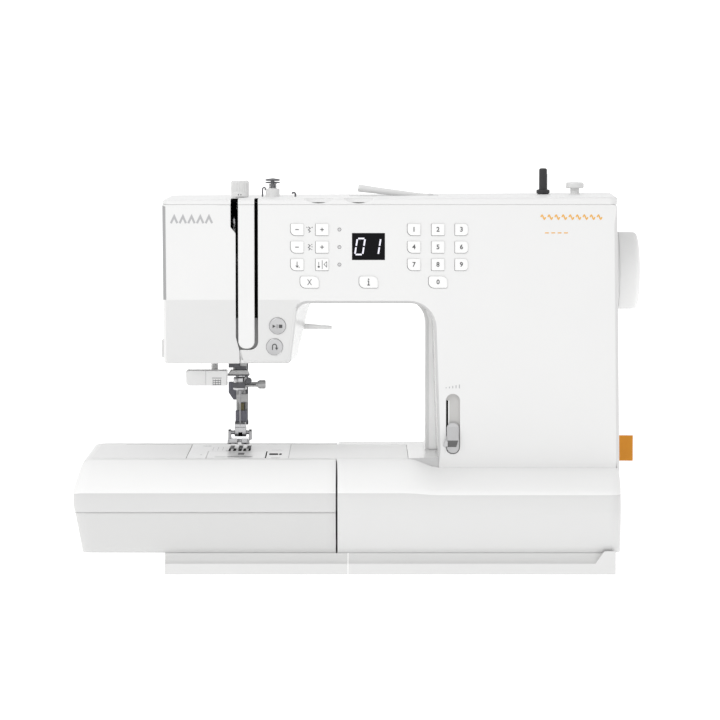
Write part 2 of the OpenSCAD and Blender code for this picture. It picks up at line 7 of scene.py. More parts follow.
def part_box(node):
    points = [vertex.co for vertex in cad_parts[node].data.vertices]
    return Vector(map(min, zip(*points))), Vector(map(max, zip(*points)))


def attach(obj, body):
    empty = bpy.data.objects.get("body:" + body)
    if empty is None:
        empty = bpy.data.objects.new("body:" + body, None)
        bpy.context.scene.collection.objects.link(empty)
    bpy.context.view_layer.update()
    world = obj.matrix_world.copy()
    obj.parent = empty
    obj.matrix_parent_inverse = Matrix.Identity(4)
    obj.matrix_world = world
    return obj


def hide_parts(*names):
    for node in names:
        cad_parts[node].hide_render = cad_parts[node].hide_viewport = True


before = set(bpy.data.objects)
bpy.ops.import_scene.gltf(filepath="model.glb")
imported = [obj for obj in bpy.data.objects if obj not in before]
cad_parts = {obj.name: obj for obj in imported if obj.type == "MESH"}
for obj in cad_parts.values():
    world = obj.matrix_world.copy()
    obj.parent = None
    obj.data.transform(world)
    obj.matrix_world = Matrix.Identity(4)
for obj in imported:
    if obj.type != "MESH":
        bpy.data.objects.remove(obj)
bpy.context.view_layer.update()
scene = bpy.context.scene

# Lengths in this script are millimetres in the row frame; MM turns them into metres.
MM = 0.001
# Edges that bend more than this stay sharp.
EDGE_ANGLE = 32


def box_mm(node):
    low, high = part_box(node)
    return low / MM, high / MM


# ---- places, from the frame ----

front_low, front_high = box_mm("front_cover")
face_low, face_high = box_mm("face_cover")
top_low = box_mm("top_cover")[0]
arm_high = box_mm("free_arm")[1]
skirt_high = box_mm("lower_front_cover")[1]
tray_low, tray_high = box_mm("accessory_tray")
wheel_low, wheel_high = box_mm("handwheel")

FRONT_Y = front_low.y
BACK_Y = face_high.y
SPLIT_Y = front_high.y
WALL_TOP = front_high.z
END_X = front_high.x
HEAD_X = face_low.x + 2.4
HEAD_Z = face_low.z
BED_Z = arm_high.z
SKIRT_Z = tray_low.z
WALL = 2.5
ARM_Z = 195.0
FASCIA_Z = 197.6
# X left of which an outline's low edges belong to the head, not to the column
HEAD_RIGHT = -40.0
SLOT_LEFT = -88.1
SLOT_RIGHT = -74.0
FACE_EDGE = -90.2
TONGUE = (-88.4, -76.6)
SLOT_BOTTOM = 161.0
LEDGE_Z = 75.4
LID_FLOOR = WALL_TOP + 1.2
LEAN = 0.07
TAPER = 0.06
TAPER_LOW = 0.02
LID_RISE = 2.0
PLINTH_END = 184.7
PLINTH_SEAM = -8.7
KEY_SHADE = 0.27
KEY_SINK = 0.08
BUTTON_R = 6.0
LIGHT_R = 1.3
LIGHT_X = -14.9
SLIDER_SLOT = (62.5, 72.7), (85.2, 129.1)
KNOB_TOP = 108.2
GROOVE = (62.7, 64.1)
PIN_AT = 52.0, 270.0
# The skirt and the tray: front edge of their flat tops, the gap between them and, from the top down,
# (outward, height) levels of their fronts and sides.
CREST_Y = -64.0
GAP_X = -16.4
# below CREASE_Z the skirt and the tray get painted shade
CREASE_Z = 59.6
FOOT_LEVELS = [(24.0, 52.0), (23.8, 47.0), (23.0, 44.5), (19.3, 33.0), (13.2, 20.0), (11.2, SKIRT_Z)]
BED_LEVELS = [(-0.2, 82.9), (0.0, 83.0), (0.9, 82.85), (2.2, 82.3), (6.0, 80.2), (12.0, 75.6), (17.5, 69.8),
              (21.3, 64.6), (22.8, 62.2), (23.6, 60.2), (24.0, 57.5)] + FOOT_LEVELS
LEDGE_LEVELS = [(-13.0, 75.1), (-9.9, 75.1), (-8.5, 75.0), (-4.0, 74.2), (3.0, 72.0), (10.0, 69.2),
                (16.5, 65.8), (20.8, 62.6), (22.6, 60.8), (23.6, 58.8), (24.0, 56.5)] + FOOT_LEVELS
RIGHT_LEVELS = [(-3.0, 75.1), (-0.6, 75.1), (0.0, 74.9), (0.2, 74.0), (0.4, 72.0), (0.6, 69.0), (0.7, 65.5),
                (0.8, 62.6), (0.8, 60.8), (0.8, 58.8), (0.8, 56.5), (0.9, 52.0), (1.0, 47.0), (1.0, 44.5),
                (1.0, 33.0), (1.0, 20.0), (1.0, SKIRT_Z)]
LEFT_LEVELS = [(-0.3, 82.9), (0.1, 83.0), (2.4, 82.9), (4.0, 82.4), (5.6, 80.6), (7.4, 76.2), (9.2, 70.4),
               (11.0, 64.4), (11.7, 61.6), (12.0, 59.0), (12.0, 56.0), (12.0, 51.0), (11.2, 47.0),
               (10.4, 44.5), (8.6, 33.0), (6.8, 20.0), (6.2, SKIRT_Z)]


# ---- camera, floor, light ----

def make_camera():
    data = bpy.data.cameras.new("camera")
    camera = bpy.data.objects.new("camera", data)
    scene.collection.objects.link(camera)
    data.sensor_width = 36.0
    data.lens = 186.35
    camera.location = (0.0, -2.754, 0.34943)
    camera.rotation_euler = (math.radians(85.857), 0.0, 0.0)
    data.clip_start = 0.05
    data.clip_end = 60.0
    scene.camera = camera


def area_light(name, place, aim, size, power):
    data = bpy.data.lights.new(name, "AREA")
    data.shape = "RECTANGLE"
    data.size, data.size_y = size
    data.energy = power
    light = bpy.data.objects.new(name, data)
    scene.collection.objects.link(light)
    light.location = place
    light.rotation_euler = (Vector(aim) - Vector(place)).to_track_quat("-Z", "Y").to_euler()
    return light


def make_studio():
    world = scene.world or bpy.data.worlds.new("studio")
    scene.world = world
    world.use_nodes = True
    background = world.node_tree.nodes["Background"]
    background.inputs["Color"].default_value = (1.0, 1.0, 1.0, 1.0)
    background.inputs["Strength"].default_value = 0.78
    scene.view_settings.view_transform = "Standard"
    scene.view_settings.look = "None"
    scene.view_settings.exposure = 0.09
    area_light("key", (-0.6, -0.8, 1.15), (-0.02, 0.0, 0.2), (0.7, 0.45), 4.2)
    area_light("left", (-1.3, -1.0, 0.9), (-0.1, 0.0, 0.15), (0.7, 0.7), 0.2)
    bm = bmesh.new()
    reach, back, rise, steps = 6.0, 4.0, 2.5, 10
    path = [(-reach, 0.0), (back, 0.0)]
    path += [(back + rise * math.sin(a), rise * (1 - math.cos(a)))
             for a in (math.pi / 2 * i / steps for i in range(1, steps + 1))]
    rows = [[bm.verts.new((x, y, z)) for y, z in path] for x in (-reach, reach)]
    for i in range(len(path) - 1):
        bm.faces.new((rows[0][i], rows[1][i], rows[1][i + 1], rows[0][i + 1]))
    mesh = bpy.data.meshes.new("floor")
    bm.to_mesh(mesh)
    bm.free()
    floor = bpy.data.objects.new("floor", mesh)
    scene.collection.objects.link(floor)
    for face in mesh.polygons:
        face.use_smooth = True
    paper = grained("floor_paper", (0.55, 0.55, 0.55), 0.9, 40.0, 0.02, 0.0)
    shader = paper.node_tree.nodes["Principled BSDF"]
    shader.inputs["Emission Color"].default_value = (1.0, 1.0, 1.0, 1.0)
    shader.inputs["Emission Strength"].default_value = 0.74
    mesh.materials.append(paper)


# ---- materials ----

def grained(name, color, roughness, scale, bump, speckle, metallic=0.0, coat=0.0, stretch=(1, 1, 1)):
    """Surface with fine grain in its bump, its roughness and, a little, in its colour."""
    material = bpy.data.materials.new(name)
    material.use_nodes = True
    nodes = material.node_tree.nodes
    links = material.node_tree.links
    shader = nodes["Principled BSDF"]
    shader.inputs["Metallic"].default_value = metallic
    shader.inputs["Coat Weight"].default_value = coat
    shader.inputs["Coat Roughness"].default_value = 0.08
    where = nodes.new("ShaderNodeTexCoord")
    mapping = nodes.new("ShaderNodeMapping")
    mapping.inputs["Scale"].default_value = stretch
    links.new(where.outputs["Object"], mapping.inputs["Vector"])
    fine, broad = (nodes.new("ShaderNodeTexNoise") for _ in range(2))
    for noise, size, detail in ((fine, scale, 3.0), (broad, scale / 40.0, 2.0)):
        noise.inputs["Scale"].default_value = size
        noise.inputs["Detail"].default_value = detail
        links.new(mapping.outputs["Vector"], noise.inputs["Vector"])
    tint = nodes.new("ShaderNodeMix")
    tint.data_type = "RGBA"
    tint.inputs["A"].default_value = (*[c * (1 - speckle) for c in color], 1.0)
    tint.inputs["B"].default_value = (*[min(1.0, c * (1 + speckle)) for c in color], 1.0)
    links.new(broad.outputs["Fac"], tint.inputs["Factor"])
    links.new(tint.outputs["Result"], shader.inputs["Base Color"])
    gloss = nodes.new("ShaderNodeMapRange")
    gloss.inputs["To Min"].default_value = roughness * 0.88
    gloss.inputs["To Max"].default_value = min(1.0, roughness * 1.12)
    links.new(fine.outputs["Fac"], gloss.inputs["Value"])
    links.new(gloss.outputs["Result"], shader.inputs["Roughness"])
    relief = nodes.new("ShaderNodeBump")
    relief.inputs["Strength"].default_value = bump
    relief.inputs["Distance"].default_value = 0.0002
    links.new(fine.outputs["Fac"], relief.inputs["Height"])
    links.new(relief.outputs["Normal"], shader.inputs["Normal"])
    return material


def plain(name, shade, blue=None, roughness=0.3, coat=0.0, bump=0.012):
    """Smooth painted plastic of one grey; blue is its third part where that differs."""
    return grained(name, (shade, shade, shade if blue is None else blue), roughness, 900, bump, 0.01,
                   coat=coat)


def make_materials():
    return {
        "white_gloss": plain("white_shell", 0.745, 0.742, roughness=0.26, coat=0.25),
        # painted shade: a darker copy of the shell's white
        "white_painted_shade": plain("white_shell_painted_shade", 0.66, 0.657, coat=0.2),
        # painted shade for rounded edges that turn away from the light
        "bezel_painted_shade": plain("white_shell_bezel_painted_shade", 0.56, roughness=0.35),
        # painted shade for the head's left chamfer
        "left_chamfer_painted_shade": plain("head_chamfer_painted_shade", 0.33, 0.335, roughness=0.35),
        # painted shade: a darker white for the tray's lower part
        "tray_low_painted_shade": plain("white_shell_foot_painted_shade", 0.60, 0.596, roughness=0.32, coat=0.2),
        # painted light: a brighter copy of the shell's white
        "crest_painted_light": plain("white_crest_painted_light", 0.83, 0.827, roughness=0.55, bump=0.0),
        # painted shade: a darker white for the plinth and low flats
        "plinth_painted_shade": plain("plinth_band_painted_shade", 0.69, 0.686, coat=0.2),
        "guide_grey": grained("guide_steel", (0.50, 0.50, 0.50), 0.35, 700, 0.05, 0.04, metallic=0.2),
        "bar_grey": grained("bar_steel", (0.27, 0.27, 0.275), 0.35, 700, 0.05, 0.04, metallic=0.3),
        # painted shade for the floor of the threading slots
        "slot_painted_shade": grained("slot_floor_painted_shade", (0.30, 0.30, 0.30), 0.6, 900, 0.02, 0.02),
        "brass_dark": grained("old_brass", (0.12, 0.105, 0.05), 0.4, 900, 0.1, 0.1, metallic=0.5),
        "violet_grey": grained("violet_enamel", (0.17, 0.17, 0.205), 0.4, 900, 0.05, 0.08),
        # painted shade for the band of the tray's front
        "tray_band_painted_shade": plain("tray_band_painted_shade", 0.62, 0.618, coat=0.2),
        "tray_grey": plain("tray_top", 0.70, 0.697, roughness=0.35),
        # painted light for the lid's top
        "lid_painted_light": plain("lid_top_painted_light", 0.82, roughness=0.45, bump=0.0),
        # painted shade for the recessed cove under the skirt
        "cove_painted_shade": plain("plinth_cove_painted_shade", 0.63, 0.624, roughness=0.4),
        "track_grey": grained("slider_track", (0.52, 0.515, 0.505), 0.5, 900, 0.02, 0.01),
        # painted shadow: black for the darkness in openings, slots and gaps
        "painted_shadow_black": grained("inner_black_painted_shadow", (0.004, 0.004, 0.004), 0.8, 900, 0.02, 0.1),
        # painted light: a brighter white for parts that sit in shade
        "white_painted_light": plain("white_lever_painted_light", 0.95, 0.945, coat=0.2),
        "print_dark": grained("dark_print", (0.06, 0.06, 0.062), 0.5, 2500, 0.03, 0.08),
        "key_white": grained("key_rubber", (0.83, 0.83, 0.825), 0.5, 1600, 0.08, 0.01),
        "light_grey": grained("bed_plastic", (0.71, 0.71, 0.705), 0.33, 1200, 0.05, 0.02),
        "brushed_plate": grained("needle_plate_steel", (0.72, 0.72, 0.72), 0.33, 500, 0.06, 0.02,
                                 metallic=0.25, stretch=(1, 18, 1)),
        "rubber_grey": grained("foot_rubber", (0.09, 0.09, 0.09), 0.8, 1500, 0.3, 0.1),
        "cast_frame": grained("cast_aluminium", (0.48, 0.48, 0.49), 0.5, 700, 0.4, 0.08, metallic=0.9),
        "motor_dark": grained("motor_paint", (0.06, 0.06, 0.065), 0.45, 1000, 0.1, 0.1),
        "display_black": grained("display_window", (0.008, 0.008, 0.009), 0.6, 600, 0.01, 0.1),
        "dark_metal": grained("dark_enamel", (0.11, 0.11, 0.12), 0.34, 900, 0.1, 0.15, metallic=0.3),
        "steel": grained("machined_steel", (0.33, 0.33, 0.34), 0.32, 500, 0.12, 0.06, metallic=1.0,
                         stretch=(12, 1, 1)),
        "chrome": grained("chrome_plate", (0.50, 0.50, 0.51), 0.2, 700, 0.03, 0.03, metallic=1.0),
        "dark_plastic": grained("black_plastic", (0.025, 0.025, 0.027), 0.42, 1300, 0.15, 0.15),
        "bobbin_clear": grained("bobbin_plastic", (0.55, 0.66, 0.72), 0.25, 900, 0.03, 0.03, coat=0.3),
        "button_silver": grained("silver_paint", (0.50, 0.50, 0.505), 0.34, 2600, 0.08, 0.05,
                                 metallic=0.45),
        # painted shade for the underside of the slider's ledge
        "ledge_painted_shade": grained("silver_paint_painted_shade", (0.13, 0.13, 0.13), 0.5, 2600, 0.08, 0.05),
        "print_grey": grained("grey_print", (0.10, 0.10, 0.105), 0.5, 2500, 0.03, 0.08),
        "print_light": grained("light_print", (0.42, 0.42, 0.43), 0.5, 2500, 0.03, 0.04),
        "print_orange": grained("orange_print", (0.75, 0.40, 0.08), 0.5, 2500, 0.03, 0.05),
        "tag_orange": grained("tag_weave", (0.67, 0.26, 0.015), 0.75, 1800, 0.5, 0.12, stretch=(1, 2.5, 1)),
        "lens_grey": grained("light_lens", (0.56, 0.56, 0.565), 0.4, 900, 0.02, 0.03),
        "segment": grained("display_segment", (0.86, 0.85, 0.95), 0.4, 900, 0.02, 0.03),
    }


# ---- outlines ----

def rounded(corners, steps=6):
    """Closed outline from (u, v, radius) corners, each rounded by its radius."""
    out = []
    count = len(corners)
    for i, (u, v, radius) in enumerate(corners):
        here = Vector((u, v))
        before = Vector(corners[i - 1][:2]) - here
        after = Vector(corners[(i + 1) % count][:2]) - here
        a, b = before.normalized(), after.normalized()
        half = math.acos(max(-1.0, min(1.0, a.dot(b)))) / 2
        reach = min(radius / math.tan(half), before.length * 0.49, after.length * 0.49)
        r = reach * math.tan(half)
        if r < 1e-6:
            out.append((u, v))
            continue
        centre = here + (a + b).normalized() * (r / math.sin(half))
        first = here + a * reach - centre
        last = here + b * reach - centre
        turn = first.angle_signed(last)
        for k in range(steps + 1):
            arm = first.copy()
            arm.rotate(Matrix.Rotation(-turn * k / steps, 2))
            out.append(tuple(centre + arm))
    return out


def rect(u, v, radius, steps=6):
    """Rounded rectangle; radius is one number, or four from the low-left corner anticlockwise."""
    r = radius if isinstance(radius, (tuple, list)) else (radius,) * 4
    return rounded([(u[0], v[0], r[0]), (u[1], v[0], r[1]), (u[1], v[1], r[2]), (u[0], v[1], r[3])], steps)


def circle(u, v, r, count=32):
    return [(u + r * math.cos(2 * math.pi * k / count), v + r * math.sin(2 * math.pi * k / count))
            for k in range(count)]


def anticlockwise(points):
    area = sum(p[0] * q[1] - q[0] * p[1] for p, q in zip(points, points[1:] + points[:1]))
    return points if area > 0 else points[::-1]


def subdivided(points, longest=12.0):
    out = []
    for p, q in zip(points, points[1:] + points[:1]):
        count = max(1, math.ceil(math.dist(p, q) / longest))
        out += [(p[0] + (q[0] - p[0]) * k / count, p[1] + (q[1] - p[1]) * k / count) for k in range(count)]
    return out


def inset(points, amounts):
    """Anticlockwise outline moved inwards by an amount, or by one amount for each point."""
    count = len(points)
    if not isinstance(amounts, (list, tuple)):
        amounts = [amounts] * count
    out = []
    for i, p in enumerate(points):
        a = Vector(p) - Vector(points[i - 1])
        b = Vector(points[(i + 1) % count]) - Vector(p)
        n1 = Vector((-a.y, a.x)).normalized()
        n2 = Vector((-b.y, b.x)).normalized()
        move = (n1 + n2) * (amounts[i] / max(0.3, 1.0 + n1.dot(n2)))
        out.append((p[0] + move.x, p[1] + move.y))
    return out


# ---- mesh building ----

def loft(bm, rings, closed=True, skip=None):
    """Quads between rings of vertices; skip(i) leaves out the strip that starts at point i."""
    for low, high in zip(rings, rings[1:]):
        count = len(low)
        for i in range(count if closed else count - 1):
            if skip and skip(i):
                continue
            j = (i + 1) % count
            bm.faces.new((low[i], low[j], high[j], high[i]))


def ring(bm, points, place, depth):
    if not isinstance(depth, (list, tuple)):
        depth = [depth] * len(points)
    return [bm.verts.new(place(u, v, d)) for (u, v), d in zip(points, depth)]


def cap(bm, loops):
    """Flat face between an outer loop and the loops of its holes."""
    edges = []
    for loop in loops:
        for a, b in zip(loop, loop[1:] + loop[:1]):
            edges.append(bm.edges.get((a, b)) or bm.edges.new((a, b)))
    bmesh.ops.triangle_fill(bm, use_beauty=True, edges=edges)


def solid(name, bm, material, body="machine", replaces=(), slot=None, angle=EDGE_ANGLE, bevel=None):
    """Turns a bmesh in millimetres into a finished piece that rides on a body."""
    bmesh.ops.remove_doubles(bm, verts=bm.verts, dist=1e-4)
    bmesh.ops.recalc_face_normals(bm, faces=bm.faces)
    bmesh.ops.scale(bm, vec=(MM, MM, MM), verts=bm.verts)
    mesh = bpy.data.meshes.new(name)
    bm.to_mesh(mesh)
    bm.free()
    piece = bpy.data.objects.new(name, mesh)
    scene.collection.objects.link(piece)
    mesh.materials.append(MATERIALS[material])
    mesh.polygons.foreach_set("use_smooth", [True] * len(mesh.polygons))
    mesh.set_sharp_from_angle(angle=math.radians(angle))
    if bevel:
        soften(piece, bevel)
    weight_normals(piece)
    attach(piece, body)
    if replaces:
        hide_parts(*replaces)
    return piece


def soften(piece, width, segments=2):
    bevel = piece.modifiers.new("edge", "BEVEL")
    bevel.width = width * MM
    bevel.segments = segments
    bevel.limit_method = "ANGLE"
    bevel.angle_limit = math.radians(EDGE_ANGLE)
    bevel.use_clamp_overlap = True


def weight_normals(piece):
    normals = piece.modifiers.new("normals", "WEIGHTED_NORMAL")
    normals.keep_sharp = True
    normals.weight = 60


def finish_node(name, material, bevel=0.35):
    """A CAD node whose shape is right gets softened edges and its material."""
    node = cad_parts[name]
    node.data.materials.clear()
    node.data.materials.append(MATERIALS[material])
    weld = node.modifiers.new("weld", "WELD")
    weld.merge_threshold = 2e-6
    if bevel:
        soften(node, bevel)
    node.data.polygons.foreach_set("use_smooth", [True] * len(node.data.polygons))
    weight_normals(node)
    return node


def cut(piece, cutter_bm, solver="EXACT"):
    """Takes a closed shape in millimetres out of a piece."""
    bmesh.ops.recalc_face_normals(cutter_bm, faces=cutter_bm.faces)
    bmesh.ops.scale(cutter_bm, vec=(MM, MM, MM), verts=cutter_bm.verts)
    mesh = bpy.data.meshes.new("cutter")
    cutter_bm.to_mesh(mesh)
    cutter_bm.free()
    cutter = bpy.data.objects.new("cutter", mesh)
    scene.collection.objects.link(cutter)
    change = piece.modifiers.new("cut", "BOOLEAN")
    change.object = cutter
    change.solver = solver
    for other in piece.modifiers:
        other.show_viewport = other == change
    bpy.context.view_layer.update()
    found = piece.evaluated_get(bpy.context.evaluated_depsgraph_get())
    new_mesh = bpy.data.meshes.new_from_object(found)
    piece.modifiers.remove(change)
    for other in piece.modifiers:
        other.show_viewport = True
    piece.data = new_mesh
    bpy.data.objects.remove(cutter)
    new_mesh.polygons.foreach_set("use_smooth", [True] * len(new_mesh.polygons))
    new_mesh.set_sharp_from_angle(angle=math.radians(EDGE_ANGLE))


def block(bm, x, y, z):
    """Box between two corners, added to a bmesh."""
    corners = [bm.verts.new((a, b, c)) for c in z for b in y for a in x]
    for f in ((0, 2, 3, 1), (4, 5, 7, 6), (0, 1, 5, 4), (2, 6, 7, 3), (0, 4, 6, 2), (1, 3, 7, 5)):
        bm.faces.new([corners[i] for i in f])


def boxes(name, material, corners, *args, **more):
    """Piece made of plain boxes."""
    bm = bmesh.new()
    for x, y, z in corners:
        block(bm, x, y, z)
    return solid(name, bm, material, *args, **more)


def prism(bm, points, place, low, high, edge=0.0):
    """Closed slab of an outline between two depths, with a small chamfer of the given size."""
    points = anticlockwise(list(points))
    rings = []
    if edge:
        rings.append(ring(bm, inset(points, edge), place, low))
        rings.append(ring(bm, points, place, low + edge))
        rings.append(ring(bm, points, place, high - edge))
        rings.append(ring(bm, inset(points, edge), place, high))
    else:
        rings.append(ring(bm, points, place, low))
        rings.append(ring(bm, points, place, high))
    loft(bm, rings)
    cap(bm, [rings[0]])
    cap(bm, [rings[-1]])


def lathe(bm, profile, place, count=64, tube=False):
    """Turned shape from (radius, height) points; a tube's profile closes on itself."""
    rings = []
    for r, h in profile:
        r = max(r, 1e-3)
        rings.append([bm.verts.new(place(r * math.cos(a), r * math.sin(a), h))
                      for a in (2 * math.pi * k / count for k in range(count))])
    if tube:
        loft(bm, rings + [rings[0]])
        return
    loft(bm, rings)
    bm.faces.new(rings[0])
    bm.faces.new(rings[-1])


def facing_front(y0=None):
    base = FRONT_Y if y0 is None else y0
    return lambda u, v, d: (u, base + d, v)


def facing_back(y0):
    return lambda u, v, d: (u, y0 - d, v)


def facing_up(z0):
    return lambda u, v, d: (u, v, z0 - d)


def sideways(y, z, x):
    return x, y, z


def frontways(x, z, y):
    return x, y, z


def upwards(x, y, z):
    return x, y, z


def standing(x, y):
    return lambda a, b, h: (x + a, y + b, h)


def pointing_back(x, y, z):
    return lambda a, b, h: (x + a, y + h, z + b)


def pointing_right(x, y, z):
    return lambda a, b, h: (x + h, y + a, z + b)


CHAMFER = ((1.0, 0.0), (0.72, 0.06), (0.28, 0.42), (0.06, 0.78), (0.0, 1.0))


def cover(points, holes, place, depth, weights, wall=WALL, open_at=None):
    """Shell with a front wall, side walls and an open back. weights gives each point's edge rounding
    in millimetres, and open_at(p, q) leaves out the side wall along an edge."""
    bm = bmesh.new()
    points = subdivided(anticlockwise(list(points)))
    size = [weights(*p) for p in points]
    rings = [ring(bm, inset(points, [s * a for s in size]), place, [s * b for s in size])
             for a, b in CHAMFER]
    loft(bm, rings)
    deep = max(max(size), wall) + 0.01
    outer = [ring(bm, points, place, deep), ring(bm, points, place, depth)]
    inner = [ring(bm, inset(points, wall), place, depth), ring(bm, inset(points, wall), place, deep)]
    loft(bm, [rings[-1], outer[0]])
    count = len(points)
    is_open = [bool(open_at and open_at(points[i], points[(i + 1) % count])) for i in range(count)]
    loft(bm, [outer[0], outer[1], inner[0], inner[1]], skip=lambda i: is_open[i])
    for i in range(count):
        if is_open[i]:
            j = (i + 1) % count
            bm.faces.new((outer[0][i], outer[0][j], inner[1][j], inner[1][i]))
        if is_open[i] != is_open[i - 1]:
            bm.faces.new((outer[0][i], outer[1][i], inner[0][i], inner[1][i]))
    fronts, backs = [rings[0]], [inner[1]]
    for hole in holes:
        hole = anticlockwise(list(hole))
        lip = ring(bm, inset(hole, -0.03), place, 0.0)
        edge = ring(bm, hole, place, 0.3)
        back = ring(bm, hole, place, deep)
        loft(bm, [lip, edge, back])
        fronts.append(lip)
        backs.append(back)
    cap(bm, fronts)
    cap(bm, backs)
    return bm


def lean_head(bm):
    """Tilts the head's front face back below the fascia line."""
    bmesh.ops.bisect_plane(bm, geom=bm.verts[:] + bm.edges[:] + bm.faces[:],
                           plane_co=(0, 0, FASCIA_Z), plane_no=(0, 0, 1))
    for v in bm.verts:
        v.co.y += lean_at(v.co.x, v.co.y, v.co.z)


def lean_at(x, y, z):
    side = min(1.0, max(0.0, (-38.0 - x) / 8.0))
    near = min(1.0, max(0.0, (-20.0 - y) / 25.0))
    return max(0.0, FASCIA_Z - z) * LEAN * side * near


def mix(p, q, t):
    return tuple(a + (b - a) * t for a, b in zip(p, q))


def smooth(t):
    t = min(1.0, max(0.0, t))
    return t * t * (3 - 2 * t)


def skin(bm, stations):
    """Quads over a grid of rows, one row of points for each station."""
    grid = [[bm.verts.new(p) for p in row] for row in stations]
    loft(bm, grid, closed=False)
    return grid


def split(bm, place, normal):
    """Cuts along a plane and throws away what lies on the side that the normal points to."""
    bmesh.ops.bisect_plane(bm, geom=bm.verts[:] + bm.edges[:] + bm.faces[:], plane_co=place,
                           plane_no=normal, clear_outer=True)


def thicken(piece, amount):
    shell = piece.modifiers.new("wall", "SOLIDIFY")
    shell.thickness = amount * MM
    shell.offset = -1.0
    shell.use_even_offset = False
    order = list(piece.modifiers).index(shell)
    piece.modifiers.move(order, 0)


def wire(bm, path, radius, sides=10):
    """Round wire along a list of points."""
    path = [Vector(p) for p in path]
    rings = []
    up = Vector((0, 1, 0))
    for i, p in enumerate(path):
        along = (path[min(i + 1, len(path) - 1)] - path[max(i - 1, 0)]).normalized()
        side = along.cross(up)
        side = side.normalized() if side.length > 1e-4 else Vector((1, 0, 0))
        other = along.cross(side).normalized()
        rings.append([bm.verts.new(p + (side * math.cos(a) + other * math.sin(a)) * radius)
                      for a in (2 * math.pi * k / sides for k in range(sides))])
    loft(bm, rings)
    bm.faces.new(rings[0])
    bm.faces.new(rings[-1])


def right_at(y, z=BED_Z):
    """X of the machine's right side, which tapers towards the front, most of all at the top."""
    share = min(1.0, max(0.0, (z - BED_Z) / (WALL_TOP - BED_Z)))
    return END_X - (TAPER_LOW + (TAPER - TAPER_LOW) * share) * max(0.0, SPLIT_Y - y)


def taper(bm):
    """Draws the right side in towards the front."""
    for v in bm.verts:
        share = min(1.0, max(0.0, (v.co.x - 160.0) / 26.0))
        v.co.x -= (END_X - right_at(v.co.y, v.co.z)) * share


def flare(bm):
    """Widens the head's right side behind its front edge."""
    for v in bm.verts:
        x, y, z = v.co
        if z > ARM_Z + 12 or z < 100:
            continue
        share = min(1.0, max(0.0, (-30.0 - x) / 12.0)) * min(1.0, max(0.0, (x + 74.0) / 12.0))
        v.co.x += (3.7 + 0.109 * (z - HEAD_Z)) * smooth((y - FRONT_Y - 1.0) / 30.0) * share


def paint(piece, material, test):
    """Gives a second material to the faces whose middle, in millimetres, passes a test."""
    mesh = piece.data
    mesh.materials.append(MATERIALS[material])
    index = len(mesh.materials) - 1
    for face in mesh.polygons:
        if test(face.center / MM, face.normal):
            face.material_index = index


# Looks by name; the display's black and the black of painted shadow get almost no specular
MATERIALS = make_materials()
for dull in ("display_black", "painted_shadow_black"):
    MATERIALS[dull].node_tree.nodes["Principled BSDF"].inputs["Specular IOR Level"].default_value = 0.04


# ---- controls ----

KEY_ROWS = (248.6, 235.9, 223.2)


def node_rect(node):
    low, high = box_mm(node)
    return (low.x, high.x), (low.z, high.z)


KEY_NAMES = [f"key_{i}" for i in range(10)] + [
    "key_width_minus", "key_width_plus", "key_length_minus", "key_length_plus",
    "key_needle", "key_mirror", "key_tie_off", "key_info"]
LEFT_KEYS = ("key_1", "key_4", "key_7", "key_width_minus", "key_length_minus", "key_needle")
RIGHT_KEYS = ("key_3", "key_6", "key_9")
WIDE_KEYS = ("key_0", "key_tie_off", "key_info")


def key_radii(name):
    """Corner radii of a key, from its low-left corner anticlockwise."""
    if name in LEFT_KEYS:
        return (3.6, 0.7, 0.7, 0.9)
    if name in RIGHT_KEYS:
        return (0.7, 2.6, 2.6, 0.7)
    if name in WIDE_KEYS:
        return (4.0, 1.2, 4.0, 1.6)
    return (0.7, 0.7, 0.7, 0.7)


def control_holes():
    holes = []
    for name in KEY_NAMES:
        u, v = node_rect(name)
        holes.append(rect((u[0] - KEY_SHADE, u[1] + 0.02), (v[0] - KEY_SHADE, v[1] + 0.02),
                          key_radii(name), 5))
    holes.append(rect((-5.8, 18.1), (226.5, 246.1), 0.3, 2))
    holes.append(rect(*SLIDER_SLOT, 4.9, 8))
    holes += [circle(LIGHT_X, z, LIGHT_R + 0.05, 24) for z in KEY_ROWS]
    for name in ("start_stop_button", "reverse_button"):
        middle = sum(box_mm(name), Vector()) / 2
        holes.append(circle(middle.x, middle.z, BUTTON_R + 0.15, 48))
    return holes


def make_key(name):
    u, v = node_rect(name)
    low, high = box_mm(name)
    outline = anticlockwise(rect(u, v, key_radii(name), 5))
    bm = bmesh.new()
    crown = ((0.12, 0.0), (0.03, 0.03), (0.0, 0.12))
    place = facing_front(low.y + KEY_SINK)
    rings = [ring(bm, inset(outline, a), place, d) for a, d in crown]
    rings.append(ring(bm, outline, place, high.y - low.y - KEY_SINK))
    loft(bm, rings)
    cap(bm, [rings[0]])
    cap(bm, [rings[-1]])
    solid(name + "_cap", bm, "key_white", name, replaces=[name])


# ---- printed marks ----

